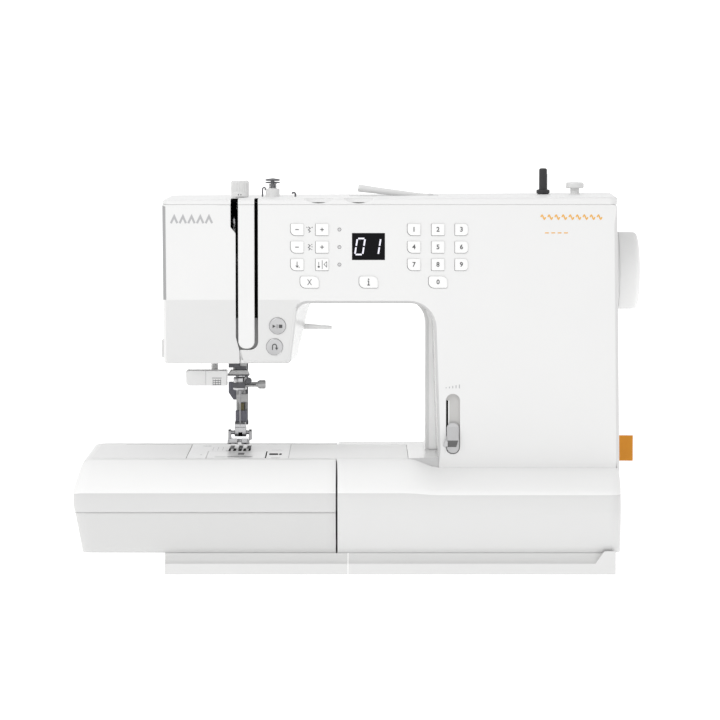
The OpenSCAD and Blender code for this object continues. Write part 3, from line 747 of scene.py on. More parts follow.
def ribbon(bm, points, width, place, thick=0.05, closed=False):
    """Flat printed line along (u, v) points."""
    path = [Vector(p) for p in points]
    count = len(path)
    sides = [[], []]
    for i, p in enumerate(path):
        a = path[i - 1] if (i or closed) else p
        b = path[(i + 1) % count] if (i < count - 1 or closed) else p
        d1 = (p - a).normalized() if (p - a).length > 1e-9 else (b - p).normalized()
        d2 = (b - p).normalized() if (b - p).length > 1e-9 else d1
        n1, n2 = Vector((-d1.y, d1.x)), Vector((-d2.y, d2.x))
        n = (n1 + n2) / max(0.35, 1 + n1.dot(n2))
        for s, sign in enumerate((1, -1)):
            sides[s].append(p + n * (width / 2 * sign))
    rings = []
    for side, depth in ((0, 0.0), (0, thick), (1, thick), (1, 0.0)):
        rings.append([bm.verts.new(place(q.x, q.y, -depth)) for q in sides[side]])
    rings.append(rings[0])
    loft(bm, rings, closed=closed)
    if not closed:
        bm.faces.new([rings[k][0] for k in range(4)])
        bm.faces.new([rings[k][-1] for k in range(4)])


def disc_print(bm, u, v, r, place, thick=0.05):
    prism(bm, circle(u, v, r, 20), place, -thick, 0.0)


def glyph(name, text, u, v, height, y, body, material="print_grey", bold=0.0):
    """A printed figure, centred on (u, v), on a face at depth y."""
    data = bpy.data.curves.new(name, "FONT")
    data.body = text
    data.align_x = "CENTER"
    data.align_y = "CENTER"
    data.size = height * 1.38 * MM
    data.extrude = 0.025 * MM
    data.offset = bold * MM
    data.resolution_u = 4
    letter = bpy.data.objects.new(name, data)
    scene.collection.objects.link(letter)
    bpy.context.view_layer.update()
    mesh = bpy.data.meshes.new_from_object(letter)
    bpy.data.objects.remove(letter)
    mesh.transform(Matrix.Rotation(math.radians(90), 4, "X"))
    mesh.transform(Matrix.Translation(Vector((u, y, v)) * MM))
    mesh.name = name
    piece = bpy.data.objects.new(name, mesh)
    scene.collection.objects.link(piece)
    mesh.materials.clear()
    mesh.materials.append(MATERIALS[material])
    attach(piece, body)
    return piece


def key_centre(name):
    u, v = node_rect(name)
    return (u[0] + u[1]) / 2, (v[0] + v[1]) / 2


def key_mark(name, lines, width=0.5, dots=()):
    """Symbol on a key, drawn from lines and dots in millimetres from the key's middle."""
    u, v = key_centre(name)
    low = box_mm(name)[0]
    place = facing_front(low.y + KEY_SINK - 0.02)
    bm = bmesh.new()
    for line in lines:
        ribbon(bm, [(u + a, v + b) for a, b in line], width, place)
    for a, b, r in dots:
        disc_print(bm, u + a, v + b, r, place)
    solid(name + "_mark", bm, "print_grey", name, slot="key_white")


def make_key_marks():
    for digit in range(10):
        name = f"key_{digit}"
        u, v = key_centre(name)
        glyph(name + "_figure", str(digit), u, v, 3.4, box_mm(name)[0].y + KEY_SINK - 0.04, name,
              "print_dark", 0.1)
    minus = [[(-1.3, 0), (1.3, 0)]]
    plus = minus + [[(0, -1.3), (0, 1.3)]]
    for sign, lines in (("minus", minus), ("plus", plus)):
        for kind in ("width", "length"):
            key_mark(f"key_{kind}_{sign}", lines, 0.6)
    key_mark("key_needle", [[(0, 2.2), (0, -1.6)], [(-0.9, -0.6), (0, -2.0), (0.9, -0.6)],
                            [(1.1, -1.9), (1.8, -1.9)]], 0.5)
    key_mark("key_mirror", [[(0.1, 3.2), (0.1, -3.2)], [(-2.4, 2.0), (-2.4, -0.4)],
                            [(3.4, 2.2), (1.4, 0.1), (3.4, -1.8), (3.4, 2.2)]], 0.4,
             dots=[(-2.4, -1.5, 0.8)])
    key_mark("key_tie_off", [[(-1.4, 2.1), (-0.25, 0.5), (-0.25, -0.5), (-1.4, -2.1)],
                             [(1.4, 2.1), (0.25, 0.5), (0.25, -0.5), (1.4, -2.1)]], 0.45)
    key_mark("key_info", [[(-0.7, 0.8), (0.05, 0.8), (0.05, -2.0)], [(-0.9, -2.1), (1.0, -2.1)]], 0.75,
             dots=[(0.05, 2.1, 0.55)])


def make_fascia_marks():
    place = facing_front(FRONT_Y - 0.02)
    middle = -36.6
    bm = bmesh.new()
    for k, (z, wide) in enumerate(((KEY_ROWS[0], True), (KEY_ROWS[1], False))):
        lines = [[(-0.9, 2.0), (0.6, 0.9), (-0.9, -0.2), (0.6, -1.3), (-0.6, -2.2)]]
        ends = [[(-2.2, 1.9), (-1.6, 1.3)], [(2.2, 1.9), (1.6, 1.3)]] if wide else \
            [[(1.3, 1.9), (2.0, 1.9)], [(1.3, -1.9), (2.0, -1.9)], [(1.6, 0.5), (2.1, 0.0)]]
        for line in lines + ends:
            ribbon(bm, [(middle + a, z + b) for a, b in line], 0.5, place)
    solid("stitch_marks", bm, "print_grey")

    # speed scale over the slider
    bm = bmesh.new()
    for k in range(5):
        u = 62.6 + k * 2.4
        ribbon(bm, [(u, 133.2), (u, 134.0 + 0.5 * k)], 0.7, place)
    solid("speed_marks", bm, "print_light")

    # plain running-stitch ornament on the head
    bm = bmesh.new()
    for k in range(5):
        u = -137.0 + k * 6.3
        ribbon(bm, [(u, 253.2), (u + 2.4, 258.2), (u + 4.6, 253.2)], 1.5, place)
    solid("head_ornament", bm, "print_light")

    # plain wavy stitch line on the column
    bm = bmesh.new()
    for k in range(9):
        u = 131.0 + k * 5.1
        wave = [(u + 3.4 * t / 8, 257.6 + 1.5 * math.sin(math.pi * 2 * t / 8)) for t in range(9)]
        ribbon(bm, wave, 1.0, place)
    for k in range(4):
        u = 134.0 + k * 4.6
        ribbon(bm, [(u, 246.2), (u + 2.8, 246.2)], 0.8, place)
    solid("column_ornament", bm, "print_orange")


def make_display():
    """Black window with seven-segment figures that read zero and one."""
    bm = bmesh.new()
    place = facing_front(FRONT_Y + 0.5)
    prism(bm, rect((-5.6, 17.9), (226.7, 245.9), 0.2, 2), place, 0.0, 3.0, 0.15)
    solid("display_window", bm, "display_black")
    bm = bmesh.new()
    face = facing_front(FRONT_Y + 0.48)
    slant = 0.16
    width, height, gap = 5.6, 11.6, 0.55

    def lean(a, b):
        return a + b * slant

    def figure(u, segments):
        w, h = width / 2, height / 2
        lines = {
            "top": [(-w + gap, h), (w - gap, h)], "low": [(-w + gap, -h), (w - gap, -h)],
            "upper_left": [(-w, h - gap), (-w, gap)], "upper_right": [(w, h - gap), (w, gap)],
            "lower_left": [(-w, -gap), (-w, -h + gap)], "lower_right": [(w, -gap), (w, -h + gap)]}
        for name in segments:
            ribbon(bm, [(u + lean(a, b), 236.3 + b) for a, b in lines[name]], 1.15, face)

    figure(0.0, ("top", "low", "upper_left", "upper_right", "lower_left", "lower_right"))
    figure(11.3, ("upper_right", "lower_right"))
    solid("display_figures", bm, "segment")
    # three status lights
    for k, z in enumerate(KEY_ROWS):
        bm = bmesh.new()
        lathe(bm, ((0.0, 0.05), (0.9, 0.08), (LIGHT_R - 0.1, 0.2), (LIGHT_R, 0.45), (LIGHT_R, 3.0)),
              pointing_back(LIGHT_X, FRONT_Y + 0.05, z), 24)
        solid(f"status_light_{k + 1}", bm, "lens_grey")


def make_round_button(name, mark):
    middle = sum(box_mm(name), Vector()) / 2
    face_y = FRONT_Y - 0.9 + lean_at(middle.x, FRONT_Y, middle.z)

    def place(x, y, h):
        return (middle.x + x, face_y + h - y * LEAN, middle.z + y)

    bm = bmesh.new()
    lathe(bm, ((0.0, 0.5), (BUTTON_R * 0.5, 0.4), (BUTTON_R - 1.0, 0.14), (BUTTON_R - 0.5, 0.0),
               (BUTTON_R - 0.15, 0.18), (BUTTON_R, 0.6), (BUTTON_R, 6.0)), place, 56)
    solid(name + "_cap", bm, "button_silver", name, replaces=[name])
    bm = bmesh.new()

    def on_face(u, v, d):
        return (middle.x + u, face_y + 0.3 + d - (v - 0.3) * LEAN, middle.z + v - 0.3)

    mark(bm, on_face)
    solid(name + "_mark", bm, "print_dark", name)


def start_stop_mark(bm, place):
    prism(bm, [(-3.6, -1.3), (-1.4, 0.0), (-3.6, 1.3)], place, -0.06, 0.3)
    ribbon(bm, [(-0.3, 1.5), (-0.3, -1.5)], 0.35, place)
    prism(bm, [(0.9, -1.2), (3.5, -1.2), (3.5, 1.2), (0.9, 1.2)], place, -0.06, 0.3)


def reverse_mark(bm, place):
    arc = [(-1.5 * math.cos(t), 0.6 + 1.6 * math.sin(t)) for t in (math.pi * k / 8 for k in range(9))]
    ribbon(bm, [(-1.5, -2.0)] + arc + [(1.5, -0.4)], 0.75, place)
    prism(bm, [(0.3, -0.3), (2.7, -0.3), (1.5, -2.2)], place, -0.06, 0.3)


def make_slider():
    bm = bmesh.new()
    (x0, x1), (z0, _) = SLIDER_SLOT
    face_y = FRONT_Y - 0.4
    outline = rect((x0 + 0.5, x1 - 0.5), (z0 + 0.5, KNOB_TOP), 4.4, 8)
    prism(bm, outline, facing_front(face_y), 0.0, 2.2, 0.5)
    # ledge for the finger, wider than the slot on the left
    ledge = [(0.0, 90.4), (-4.0, 94.6), (-4.6, 95.6), (-4.4, 96.4), (-3.2, 98.2), (-1.4, 101.6),
             (0.0, 105.0)]
    prism(bm, ledge, lambda y, z, d: (d - max(0.0, 95.6 - z) * 0.25 * (d > 66), face_y + y, z),
          x0 + 0.9, x1 - 1.4, 0.1)
    wing = [(0.0, 91.0), (-3.4, 91.0), (-4.2, 94.6), (-4.0, 95.6), (0.0, 99.6)]
    prism(bm, wing, lambda y, z, d: (d + max(0.0, z - 91.0) * 0.3 * (d < 61.0), face_y + y, z),
          x0 - 2.0, x0 + 1.2, 0.1)
    block(bm, (GROOVE[0] + 0.2, GROOVE[1] - 0.2), (FRONT_Y + 1.6, FRONT_Y + 4.0), (z0 + 3, KNOB_TOP - 7))
    knob = solid("speed_slider_knob", bm, "button_silver", "speed_slider", replaces=["speed_slider"])
    # painted shade under the finger ledge
    paint(knob, "ledge_painted_shade",
          lambda c, n: n.z < -0.3 and n.y < -0.3 and c.x > x0 + 0.9 and 90.2 < c.z < 95.4)


# ---- shells ----

def front_weights(x, z):
    if z > 262:
        return 0.5
    if x > 184:
        return 2.4
    if x < SLOT_RIGHT + 1 and z > 152:
        return 0.5
    if z < LEDGE_Z + 3:
        return 0.5
    return 2.6


def make_front_cover():
    corners = [(SLOT_RIGHT, WALL_TOP, 0.6), (END_X, WALL_TOP, 3), (END_X, LEDGE_Z - 9, 1),
               (57.6, LEDGE_Z - 9, 1), (53.2, ARM_Z, 18), (-45.2, ARM_Z, 8), (-50.8, HEAD_Z, 3),
               (-87.2, HEAD_Z, 0.8), (-87.2, SLOT_BOTTOM, 0.6), (SLOT_RIGHT, SLOT_BOTTOM, 6.0)]

    def is_open(p, q):
        low, high = sorted((p[1], q[1]))
        right = max(p[0], q[0])
        return (low > WALL_TOP - 0.1 or high < LEDGE_Z or (high < HEAD_Z + 0.1 and p[0] < HEAD_RIGHT)
                or (right < SLOT_RIGHT + 0.1 and low > SLOT_BOTTOM + 5.0))

    bm = cover(rounded(corners, 8), control_holes(), facing_front(), SPLIT_Y - FRONT_Y, front_weights,
               open_at=is_open)
    lean_head(bm)
    taper(bm)
    flare(bm)
    shell = solid("front_shell", bm, "white_gloss", replaces=["front_cover"])
    # painted shade on the head's front below the fascia line
    paint(shell, "white_painted_shade",
          lambda c, n: c.z < FASCIA_Z and c.x < -44.0 and c.y < FRONT_Y + 6 and n.y < -0.9)
    # painted shade on the rounded edge under the arm and down the throat
    paint(shell, "bezel_painted_shade", is_bezel)
    # painted shade on the column's right side
    paint(shell, "white_painted_shade", lambda c, n: c.x > 170 and n.x > 0.12)
    # tongue between the threading slots, and behind it black painted shadow and a grey floor of painted
    # shade
    bm = bmesh.new()
    prism(bm, subdivided(rect(TONGUE, (161.9, WALL_TOP), (5.2, 5.2, 0.4, 0.4), 8)),
          facing_front(), 0.0, 7.5, 0.45)
    lean_head(bm)
    solid("threading_tongue", bm, "white_gloss")
    boxes("slot_painted_shadow", "painted_shadow_black", [
        ((-91.8, -70), (FRONT_Y + 7.6, FRONT_Y + 8.4), (184, 190)),
        ((-84.6, -70), (FRONT_Y + 7.2, FRONT_Y + 8.4), (189, LID_FLOOR)),
        ((-71, -69.6), (FRONT_Y + 5.2, FRONT_Y + 8.4), (154, LID_FLOOR)),
        ((-98, -84), (-4.0, -3.0), (186, LID_FLOOR)),
        ((-85.4, -84.6), (FRONT_Y + 7.4, -3.2), (186, LID_FLOOR)),
        ((-98.6, -97.8), (FRONT_Y + 2.6, -3.2), (186, LID_FLOOR))], bevel=0.2)
    # painted shade: a grey floor low in the threading slots
    boxes("slot_floor_painted_shade", "slot_painted_shade", [((-91.8, -70.2), (FRONT_Y + 6.2, FRONT_Y + 7.2), (154, 184))],
          bevel=0.2)
    # track behind the speed slider's slot, with the groove that the knob's stem runs in
    bm = bmesh.new()
    depth = (FRONT_Y + 2.6, FRONT_Y + 3.4)
    block(bm, (GROOVE[1], 77.0), depth, (81, 134))
    block(bm, (58.2, GROOVE[0]), depth, (81, 134))
    block(bm, GROOVE, depth, (124.2, 134))
    solid("slider_track", bm, "track_grey")
    # painted highlight: a bright strip along the groove's right edge
    rail = (GROOVE[1] + 0.1, GROOVE[1] + 0.9), (FRONT_Y + 2.4, FRONT_Y + 3.0), (84, 124.2)
    boxes("slider_rail_painted_highlight", "white_painted_light", [rail], slot="light_grey", bevel=0.1)
    # painted shadow: black boxes behind the slider's track
    bm = bmesh.new()
    block(bm, (57, 78.2), (FRONT_Y + 5.5, FRONT_Y + 7), (80, 135))
    for x in (57, 76.7):
        block(bm, (x, x + 1.5), (FRONT_Y + 3.5, FRONT_Y + 7), (80, 135))
    solid("slider_well_painted_shadow", bm, "painted_shadow_black", bevel=0.2)


def is_bezel(c, n):
    """Rounded edge that runs along the arm's underside and down the throat, which gets painted shade."""
    on_edge = -0.97 < n.y < -0.12 and c.y < FRONT_Y + 3.0
    return on_edge and LEDGE_Z + 4 < c.z < ARM_Z + 6 and -46.0 < c.x < 70.0 and (c.z > 180 or c.x > 40)


def make_face_cover():
    corners = [(HEAD_X, WALL_TOP, 1.2), (-93.8, WALL_TOP, 0.4), (-93.8, 250.3, 0.8),
               (FACE_EDGE, 246.0, 1.5), (FACE_EDGE, 170.0, 9.0), (-87.5, 160.0, 3.0), (-87.5, HEAD_Z, 0.8),
               (HEAD_X + 0.8, HEAD_Z, 2.5)]

    def weights(x, z):
        return 2.4 if x < HEAD_X + 3 and z < WALL_TOP - 1 else 0.5

    def is_open(p, q):
        low, high = sorted((p[1], q[1]))
        return low > WALL_TOP - 0.1 or min(p[0], q[0]) > -94.1 or high < HEAD_Z + 0.1

    depth = (BACK_Y - FRONT_Y) / 2
    bm = cover(rounded(corners, 5), [], facing_front(), depth, weights, open_at=is_open)
    lean_head(bm)
    shell = solid("face_shell_front", bm, "white_gloss", replaces=["face_cover"])
    # painted shade on the head's front below the fascia line
    paint(shell, "white_painted_shade", lambda c, n: c.z < FASCIA_Z and c.y < FRONT_Y + 6 and n.y < -0.9)
    # painted shade on the head's left chamfer
    paint(shell, "left_chamfer_painted_shade",
          lambda c, n: (c.x < HEAD_X + 3.0 and FASCIA_Z < c.z < WALL_TOP - 0.5 and n.x < -0.05
                        and c.y < FRONT_Y + 8))
    corners = [(HEAD_X, WALL_TOP, 1.2), (SLOT_LEFT - 0.3, WALL_TOP, 0.4), (SLOT_LEFT - 0.3, HEAD_Z, 0.8),
               (HEAD_X + 0.8, HEAD_Z, 2.5)]
    bm = cover(rounded(corners, 5), [], facing_back(BACK_Y), depth - 0.02, weights, open_at=is_open)
    solid("face_shell_back", bm, "white_gloss")
    # thread cutter: a guard
    bm = bmesh.new()
    prism(bm, [(-30, 154), (-16, 154), (-16, 163), (-19, 167), (-30, 167)],
          lambda y, z, d: (HEAD_X + 0.5 - d, y, z), 0.0, 2.4, 0.5)
    # painted shade: the thread cutter's guard gets the darker white
    solid("thread_cutter", bm, "white_painted_shade")


def make_rear_cover():
    corners = [(SLOT_LEFT, WALL_TOP, 0.4), (END_X, WALL_TOP, 4), (END_X, SKIRT_Z, 3), (-16.5, SKIRT_Z, 3),
               (-16.5, BED_Z - 0.1, 1.5), (48.5, BED_Z - 0.1, 0.5), (48.5, ARM_Z, 18),
               (-37.2, ARM_Z, 8), (-47.3, HEAD_Z, 3), (SLOT_LEFT, HEAD_Z, 0.4)]

    def weights(x, z):
        if x > 184:
            return 4.0
        if x < SLOT_LEFT + 1 or z > 262:
            return 0.6
        return 2.2

    def is_open(p, q):
        low, high = sorted((p[1], q[1]))
        return (low > WALL_TOP - 0.1 or max(p[0], q[0]) < SLOT_LEFT + 0.1
                or (p[0] < HEAD_RIGHT and high < HEAD_Z + 0.1))

    bm = cover(rounded(corners, 8), [], facing_back(BACK_Y), BACK_Y - SPLIT_Y - 0.3, weights,
               open_at=is_open)
    shell = solid("rear_shell", bm, "white_gloss", replaces=["rear_cover"])
    # openings for the free arm, the foot lifter and the inlet panel
    for x, y, z in (((-20, 35.1), (0, 44.7), (44.7, 90)), ((-52, -36), (33, 47), (140, 193)),
                    ((END_X - 4, END_X + 2), (14, 62), (24, 76))):
        bm = bmesh.new()
        block(bm, x, y, z)
        cut(shell, bm, "MANIFOLD")
    # painted shade on the flat tops at bed level
    paint(shell, "plinth_painted_shade", lambda c, n: n.z > 0.8 and c.z < BED_Z + 1)
    # painted light on the throat's right wall
    paint(shell, "white_painted_light",
          lambda c, n: n.x < -0.7 and 40 < c.x < 50 and c.z > BED_Z and c.y < BACK_Y - 3)
    # lip that closes the step between the two covers round the throat's right side, in a brighter white as
    # painted light
    lip = rounded([(48.7, BED_Z + 0.1, 0.1), (48.7, ARM_Z + 0.2, 18), (28.0, ARM_Z + 0.2, 0.1),
                   (28.0, ARM_Z + 7.0, 0.1), (63.0, ARM_Z + 7.0, 0.1), (63.0, BED_Z + 0.1, 0.1)], 8)
    bm = bmesh.new()
    prism(bm, lip, facing_front(SPLIT_Y + 0.5), 0.0, 1.0)
    solid("throat_lip", bm, "white_painted_light")
    # handle lugs with their pins
    bm = bmesh.new()
    for side in (-1, 1):
        lug = rounded([(BACK_Y - 1, 252, 0.5), (BACK_Y + 9, 253, 4.8), (BACK_Y + 9, 263, 4.8),
                       (BACK_Y - 1, 266, 0.5)])
        prism(bm, lug, sideways, side * 50 - 3.7, side * 50 + 3.7, 0.5)
        lathe(bm, ((2.5, 0.0), (2.5, 10.0)), lambda a, b, h,
              s=side: (s * (50 + h), BACK_Y + 8.2 + a, 258 + b), 24)
    solid("handle_lugs", bm, "white_gloss")


def lid_rise(x):
    """How much higher the lid's top is at a place along it than at its left end."""
    return LID_RISE * (x - HEAD_X) / (END_X - HEAD_X)


def make_top_cover():
    bm = bmesh.new()
    x, y = (HEAD_X, END_X), (FRONT_Y, BACK_Y)
    rise = ((0.25, WALL_TOP + 0.06), (0.0, WALL_TOP + 0.35), (0.0, WALL_TOP + 2.1), (0.25, WALL_TOP + 2.7),
            (1.0, WALL_TOP + 3.2), (3.0, WALL_TOP + 3.4), (12.0, WALL_TOP + 3.55), (26.0, WALL_TOP + 3.8))

    def level(d, z):
        r = max(6.0 - d * 0.2, 1.0)
        return ring(bm, rect((x[0] + d, x[1] - d), (y[0] + d, y[1] - d), r, 6), upwards, z)

    rings = [level(d, z) for d, z in rise]
    loft(bm, rings)
    cap(bm, [rings[-1]])
    low = [level(WALL, WALL_TOP + 0.06), level(WALL, WALL_TOP + 1.4)]
    loft(bm, [rings[0], low[0], low[1]])
    cap(bm, [low[1]])
    taper(bm)
    for v in bm.verts:
        if v.co.z > WALL_TOP + 1.8:
            v.co.z += lid_rise(v.co.x)
    lid = solid("top_shell", bm, "white_gloss", replaces=["top_cover"])
    # the two threading slots, the spool pin's recess and two shallow hollows in front of it
    cutters = []
    for u, v in (((-93.7, TONGUE[0]), (-70, -36)), ((TONGUE[1], SLOT_RIGHT), (-70, -36)),
                 ((-8, 58), (2, 18))):
        bm = bmesh.new()
        floor_z = 268.3 if v[0] > 0 else 255.0
        prism(bm, rect(u, v, 3.0 if v[0] > 0 else 0.5, 4), upwards, floor_z, 290.0)
        cutters.append(bm)
    for u in (-30.0, -1.0):
        bm = bmesh.new()
        bmesh.ops.create_uvsphere(bm, u_segments=40, v_segments=20, radius=1.0,
                                  matrix=Matrix.Translation((u, -52, 274.5))
                                  @ Matrix.Diagonal((13, 12, 7.0, 1)))
        cutters.append(bm)
    for bm in cutters:
        cut(lid, bm)
    # painted light on the lid's upward faces
    paint(lid, "lid_painted_light", lambda c, n: n.z > 0.75)
    # painted shadow on the walls of the threading slots
    paint(lid, "painted_shadow_black",
          lambda c, n: abs(n.z) < 0.5 and -94.2 < c.x < SLOT_RIGHT + 0.2 and -53.5 < c.y < -35.8)
    # pivot of the spool pin
    bm = bmesh.new()
    for v in (3.9, 13.2):
        lug = rounded([(48.6, 267.8, 0.2), (55.4, 267.8, 0.2), (54.6, 273.0, 2.4), (49.4, 273.0, 2.4)])
        prism(bm, lug, frontways, v, v + 2.8, 0.3)
    lathe(bm, ((1.5, 4.5), (1.5, 15.5)), pointing_back(PIN_AT[0], 0, PIN_AT[1]), 24)
    solid("spool_pin_lugs", bm, "white_gloss")


def around(front, side, radii, starts, edge, sign, end_y, steps=(32, 10, 6)):
    """Rows of points along a skirt: along the front, round a corner and back along the side.
    front(x) and side hold (outward, height) for each level, radii the corner's radius for each level,
    starts the X where each level begins and edge(outward, y) the side's X."""
    along, turn, back = steps
    corner = front(edge(0.0, CREST_Y))
    centres = []
    for (d, _), (e, _), r in zip(corner, side, radii):
        y = CREST_Y - d + r
        centres.append((edge(e, y) - sign * r, y))
    rows = []
    for k in range(along):
        t = k / along
        middle = starts[0] + (centres[0][0] - starts[0]) * t
        rows.append([(x + (c[0] - x) * t, CREST_Y - d, z)
                     for (d, z), x, c in zip(front(middle), starts, centres)])
    for k in range(turn + 1):
        a = math.pi / 2 * k / turn
        rows.append([(c[0] + sign * r * math.sin(a), c[1] - r * math.cos(a),
                      z + (high - z) * smooth(k / turn))
                     for (_, z), (_, high), r, c in zip(corner, side, radii, centres)])
    for k in range(1, back + 1):
        ys = [c[1] + (end_y - c[1]) * k / back for c in centres]
        rows.append([(edge(e, y), y, z) for (e, z), y in zip(side, ys)])
    return rows


def skirt_front(x):
    """Levels of the skirt's front at a place along it: full height by the bed, lower by the column."""
    blend = smooth((x - 33.0) / 25.0)
    return [mix(p, q, blend) for p, q in zip(BED_LEVELS, LEDGE_LEVELS)]


def make_lower_cover():
    starts = [GAP_X - 0.9 + 1.1 * smooth(k / 6) for k in range(len(BED_LEVELS))]
    radii = [2.0 + 7.0 * smooth(k / 7) for k in range(len(BED_LEVELS))]
    rows = around(skirt_front, RIGHT_LEVELS, radii, starts,
                  lambda e, y: min(right_at(y) + e - 0.8, skirt_high.x - 0.1), 1, SPLIT_Y - 0.3)
    bm = bmesh.new()
    skin(bm, rows)
    # painted light: the skirt is a brighter white than the shell
    shell = solid("skirt_shell", bm, "crest_painted_light", replaces=["lower_front_cover"], angle=50)
    # painted shade on the skirt below the crease
    paint(shell, "white_painted_shade", lambda c, n: c.z < CREASE_Z - 0.4 and n.y < 0.5)
    thicken(shell, 2.0)
    # flat foot of the column beside the bed, with the facet in front of it
    bm = bmesh.new()
    rows = []
    for k in range(9):
        x = 35.1 + (57.2 - 35.1) * k / 8
        (_, _), (d, z) = skirt_front(x)[:2]
        y = CREST_Y - d
        rows.append([(x, y + 0.1, z - 0.05), (x, y + 1.6 - k * 0.12, BED_Z - 0.3),
                     (x, y + 2.2 - k * 0.12, BED_Z - 0.05),
                     (x, -30.0, BED_Z - 0.05), (x, SPLIT_Y - 0.3, BED_Z - 0.05)])
    skin(bm, rows)
    # painted shade: the column's foot is darker than the shell's white
    foot = solid("column_foot", bm, "plinth_painted_shade", angle=40)
    # painted shade on the facet in front of the column's foot
    paint(foot, "bezel_painted_shade", lambda c, n: c.z < BED_Z - 0.2)
    thicken(foot, 1.5)
    # black end wall in the gap beside the tray, as painted shadow
    profile = [(CREST_Y - d + 1.0, z) for d, z in BED_LEVELS[3:-1]]
    outline = profile + [(SPLIT_Y - 0.5, 20.0), (SPLIT_Y - 0.5, 44.3), (CREST_Y - 0.4, 44.3),
                         (CREST_Y - 0.4, 79.5)]
    bm = bmesh.new()
    prism(bm, outline, sideways, GAP_X + 0.9, GAP_X + 2.0)
    solid("skirt_end_painted_shadow", bm, "painted_shadow_black", slot="white_gloss")


def tray_stations():
    """Skin of the tray from the right end of its front wing round the left end to the back wing."""
    wing_x, left_x = tray_high.x, tray_low.x + 12.0
    starts = [wing_x - 0.5] * len(BED_LEVELS)
    radii = [3.0 + 5.0 * smooth(k / 7) for k in range(len(BED_LEVELS))]
    back_y, r = tray_high.y, 5.0
    rows = around(lambda x: BED_LEVELS, LEFT_LEVELS, radii, starts, lambda e, y: left_x - e, -1, back_y - r)
    for k in range(1, 6):
        a = math.pi / 2 * k / 5
        rows.append([(left_x - e + r * (1 - math.cos(a)), back_y - r + r * math.sin(a), z)
                     for e, z in LEFT_LEVELS])
    rows.append([(wing_x, back_y, z) for _, z in LEFT_LEVELS])
    return rows


def make_tray():
    seam = box_mm("tray_front")[0].z
    lid_y = -64.6
    rows = tray_stations()
    bm = bmesh.new()
    skin(bm, rows)
    split(bm, (0, 0, seam - 0.3), (0, 0, 1))
    upper = bmesh.new()
    skin(upper, rows)
    split(upper, (0, 0, seam - 0.3), (0, 0, -1))
    split(upper, (0, lid_y, 0), (0, -1, 0))
    mesh = bpy.data.meshes.new("upper")
    upper.to_mesh(mesh)
    upper.free()
    bm.from_mesh(mesh)
    bpy.data.meshes.remove(mesh)
    # painted light on the tray's white
    shell = solid("tray_shell", bm, "crest_painted_light", "accessory_tray", replaces=["accessory_tray"], angle=50)
    # painted shade on the tray below the seam
    paint(shell, "tray_low_painted_shade", lambda c, n: c.z < seam)
    thicken(shell, 2.3)
    # lid plate, floor and inner walls round the free arm
    left_x = tray_low.x + 12.0
    wing_x = tray_high.x
    plan = rounded([(left_x, -64.0, 3), (-126.4, -64.0, 0.2), (-126.4, 44.6, 0.2), (wing_x, 44.6, 0.3),
                    (wing_x, 53.9, 0.5), (left_x, 53.9, 5)])
    bm = bmesh.new()
    prism(bm, plan, facing_up(BED_Z), 0.02, 2.4, 0.12)
    lid = solid("tray_lid", bm, "tray_grey", "accessory_tray")
    paint(lid, "white_gloss", lambda c, n: n.z < 0.5)
    bm = bmesh.new()
    low_plan = rounded([(left_x - 4.0, -73.0, 8), (wing_x - 1.0, -73.0, 1), (wing_x - 1.0, -64.5, 1),
                        (-128.0, -64.5, 1), (-128.0, 44.7, 1), (wing_x, 44.7, 1), (wing_x, 53.5, 1),
                        (left_x - 4.0, 53.5, 5)])
    prism(bm, low_plan, facing_up(SKIRT_Z + 2.3), 0.0, 2.2, 0.2)
    block(bm, (-130.1, -127.7), (-66.5, 47.0), (SKIRT_Z + 0.2, BED_Z - 2.6))
    block(bm, (-130.0, wing_x - 1.0), (-66.6, -64.3), (SKIRT_Z + 0.2, BED_Z - 1.6))
    block(bm, (-130.0, wing_x), (44.8, 47.0), (SKIRT_Z + 0.2, BED_Z - 2.6))
    block(bm, (wing_x - 2.3, wing_x - 0.02), (44.8, 53.5), (SKIRT_Z + 0.2, BED_Z - 2.6))
    block(bm, (wing_x - 3.3, wing_x - 1.0), (-73.0, -64.3), (SKIRT_Z + 0.2, seam - 1.0))
    solid("tray_inside", bm, "white_gloss", "accessory_tray", bevel=0.25)

    bm = bmesh.new()
    skin(bm, rows)
    split(bm, (0, 0, seam), (0, 0, -1))
    split(bm, (0, lid_y - 0.3, 0), (0, 1, 0))
    # painted light on the drop front's white
    front = solid("tray_drop_front", bm, "crest_painted_light", "tray_front", replaces=["tray_front"], angle=50)
    # painted shade on the front's band below the crease
    paint(front, "tray_band_painted_shade", lambda c, n: c.z < CREASE_Z and n.y < -0.5)
    thicken(front, 2.2)


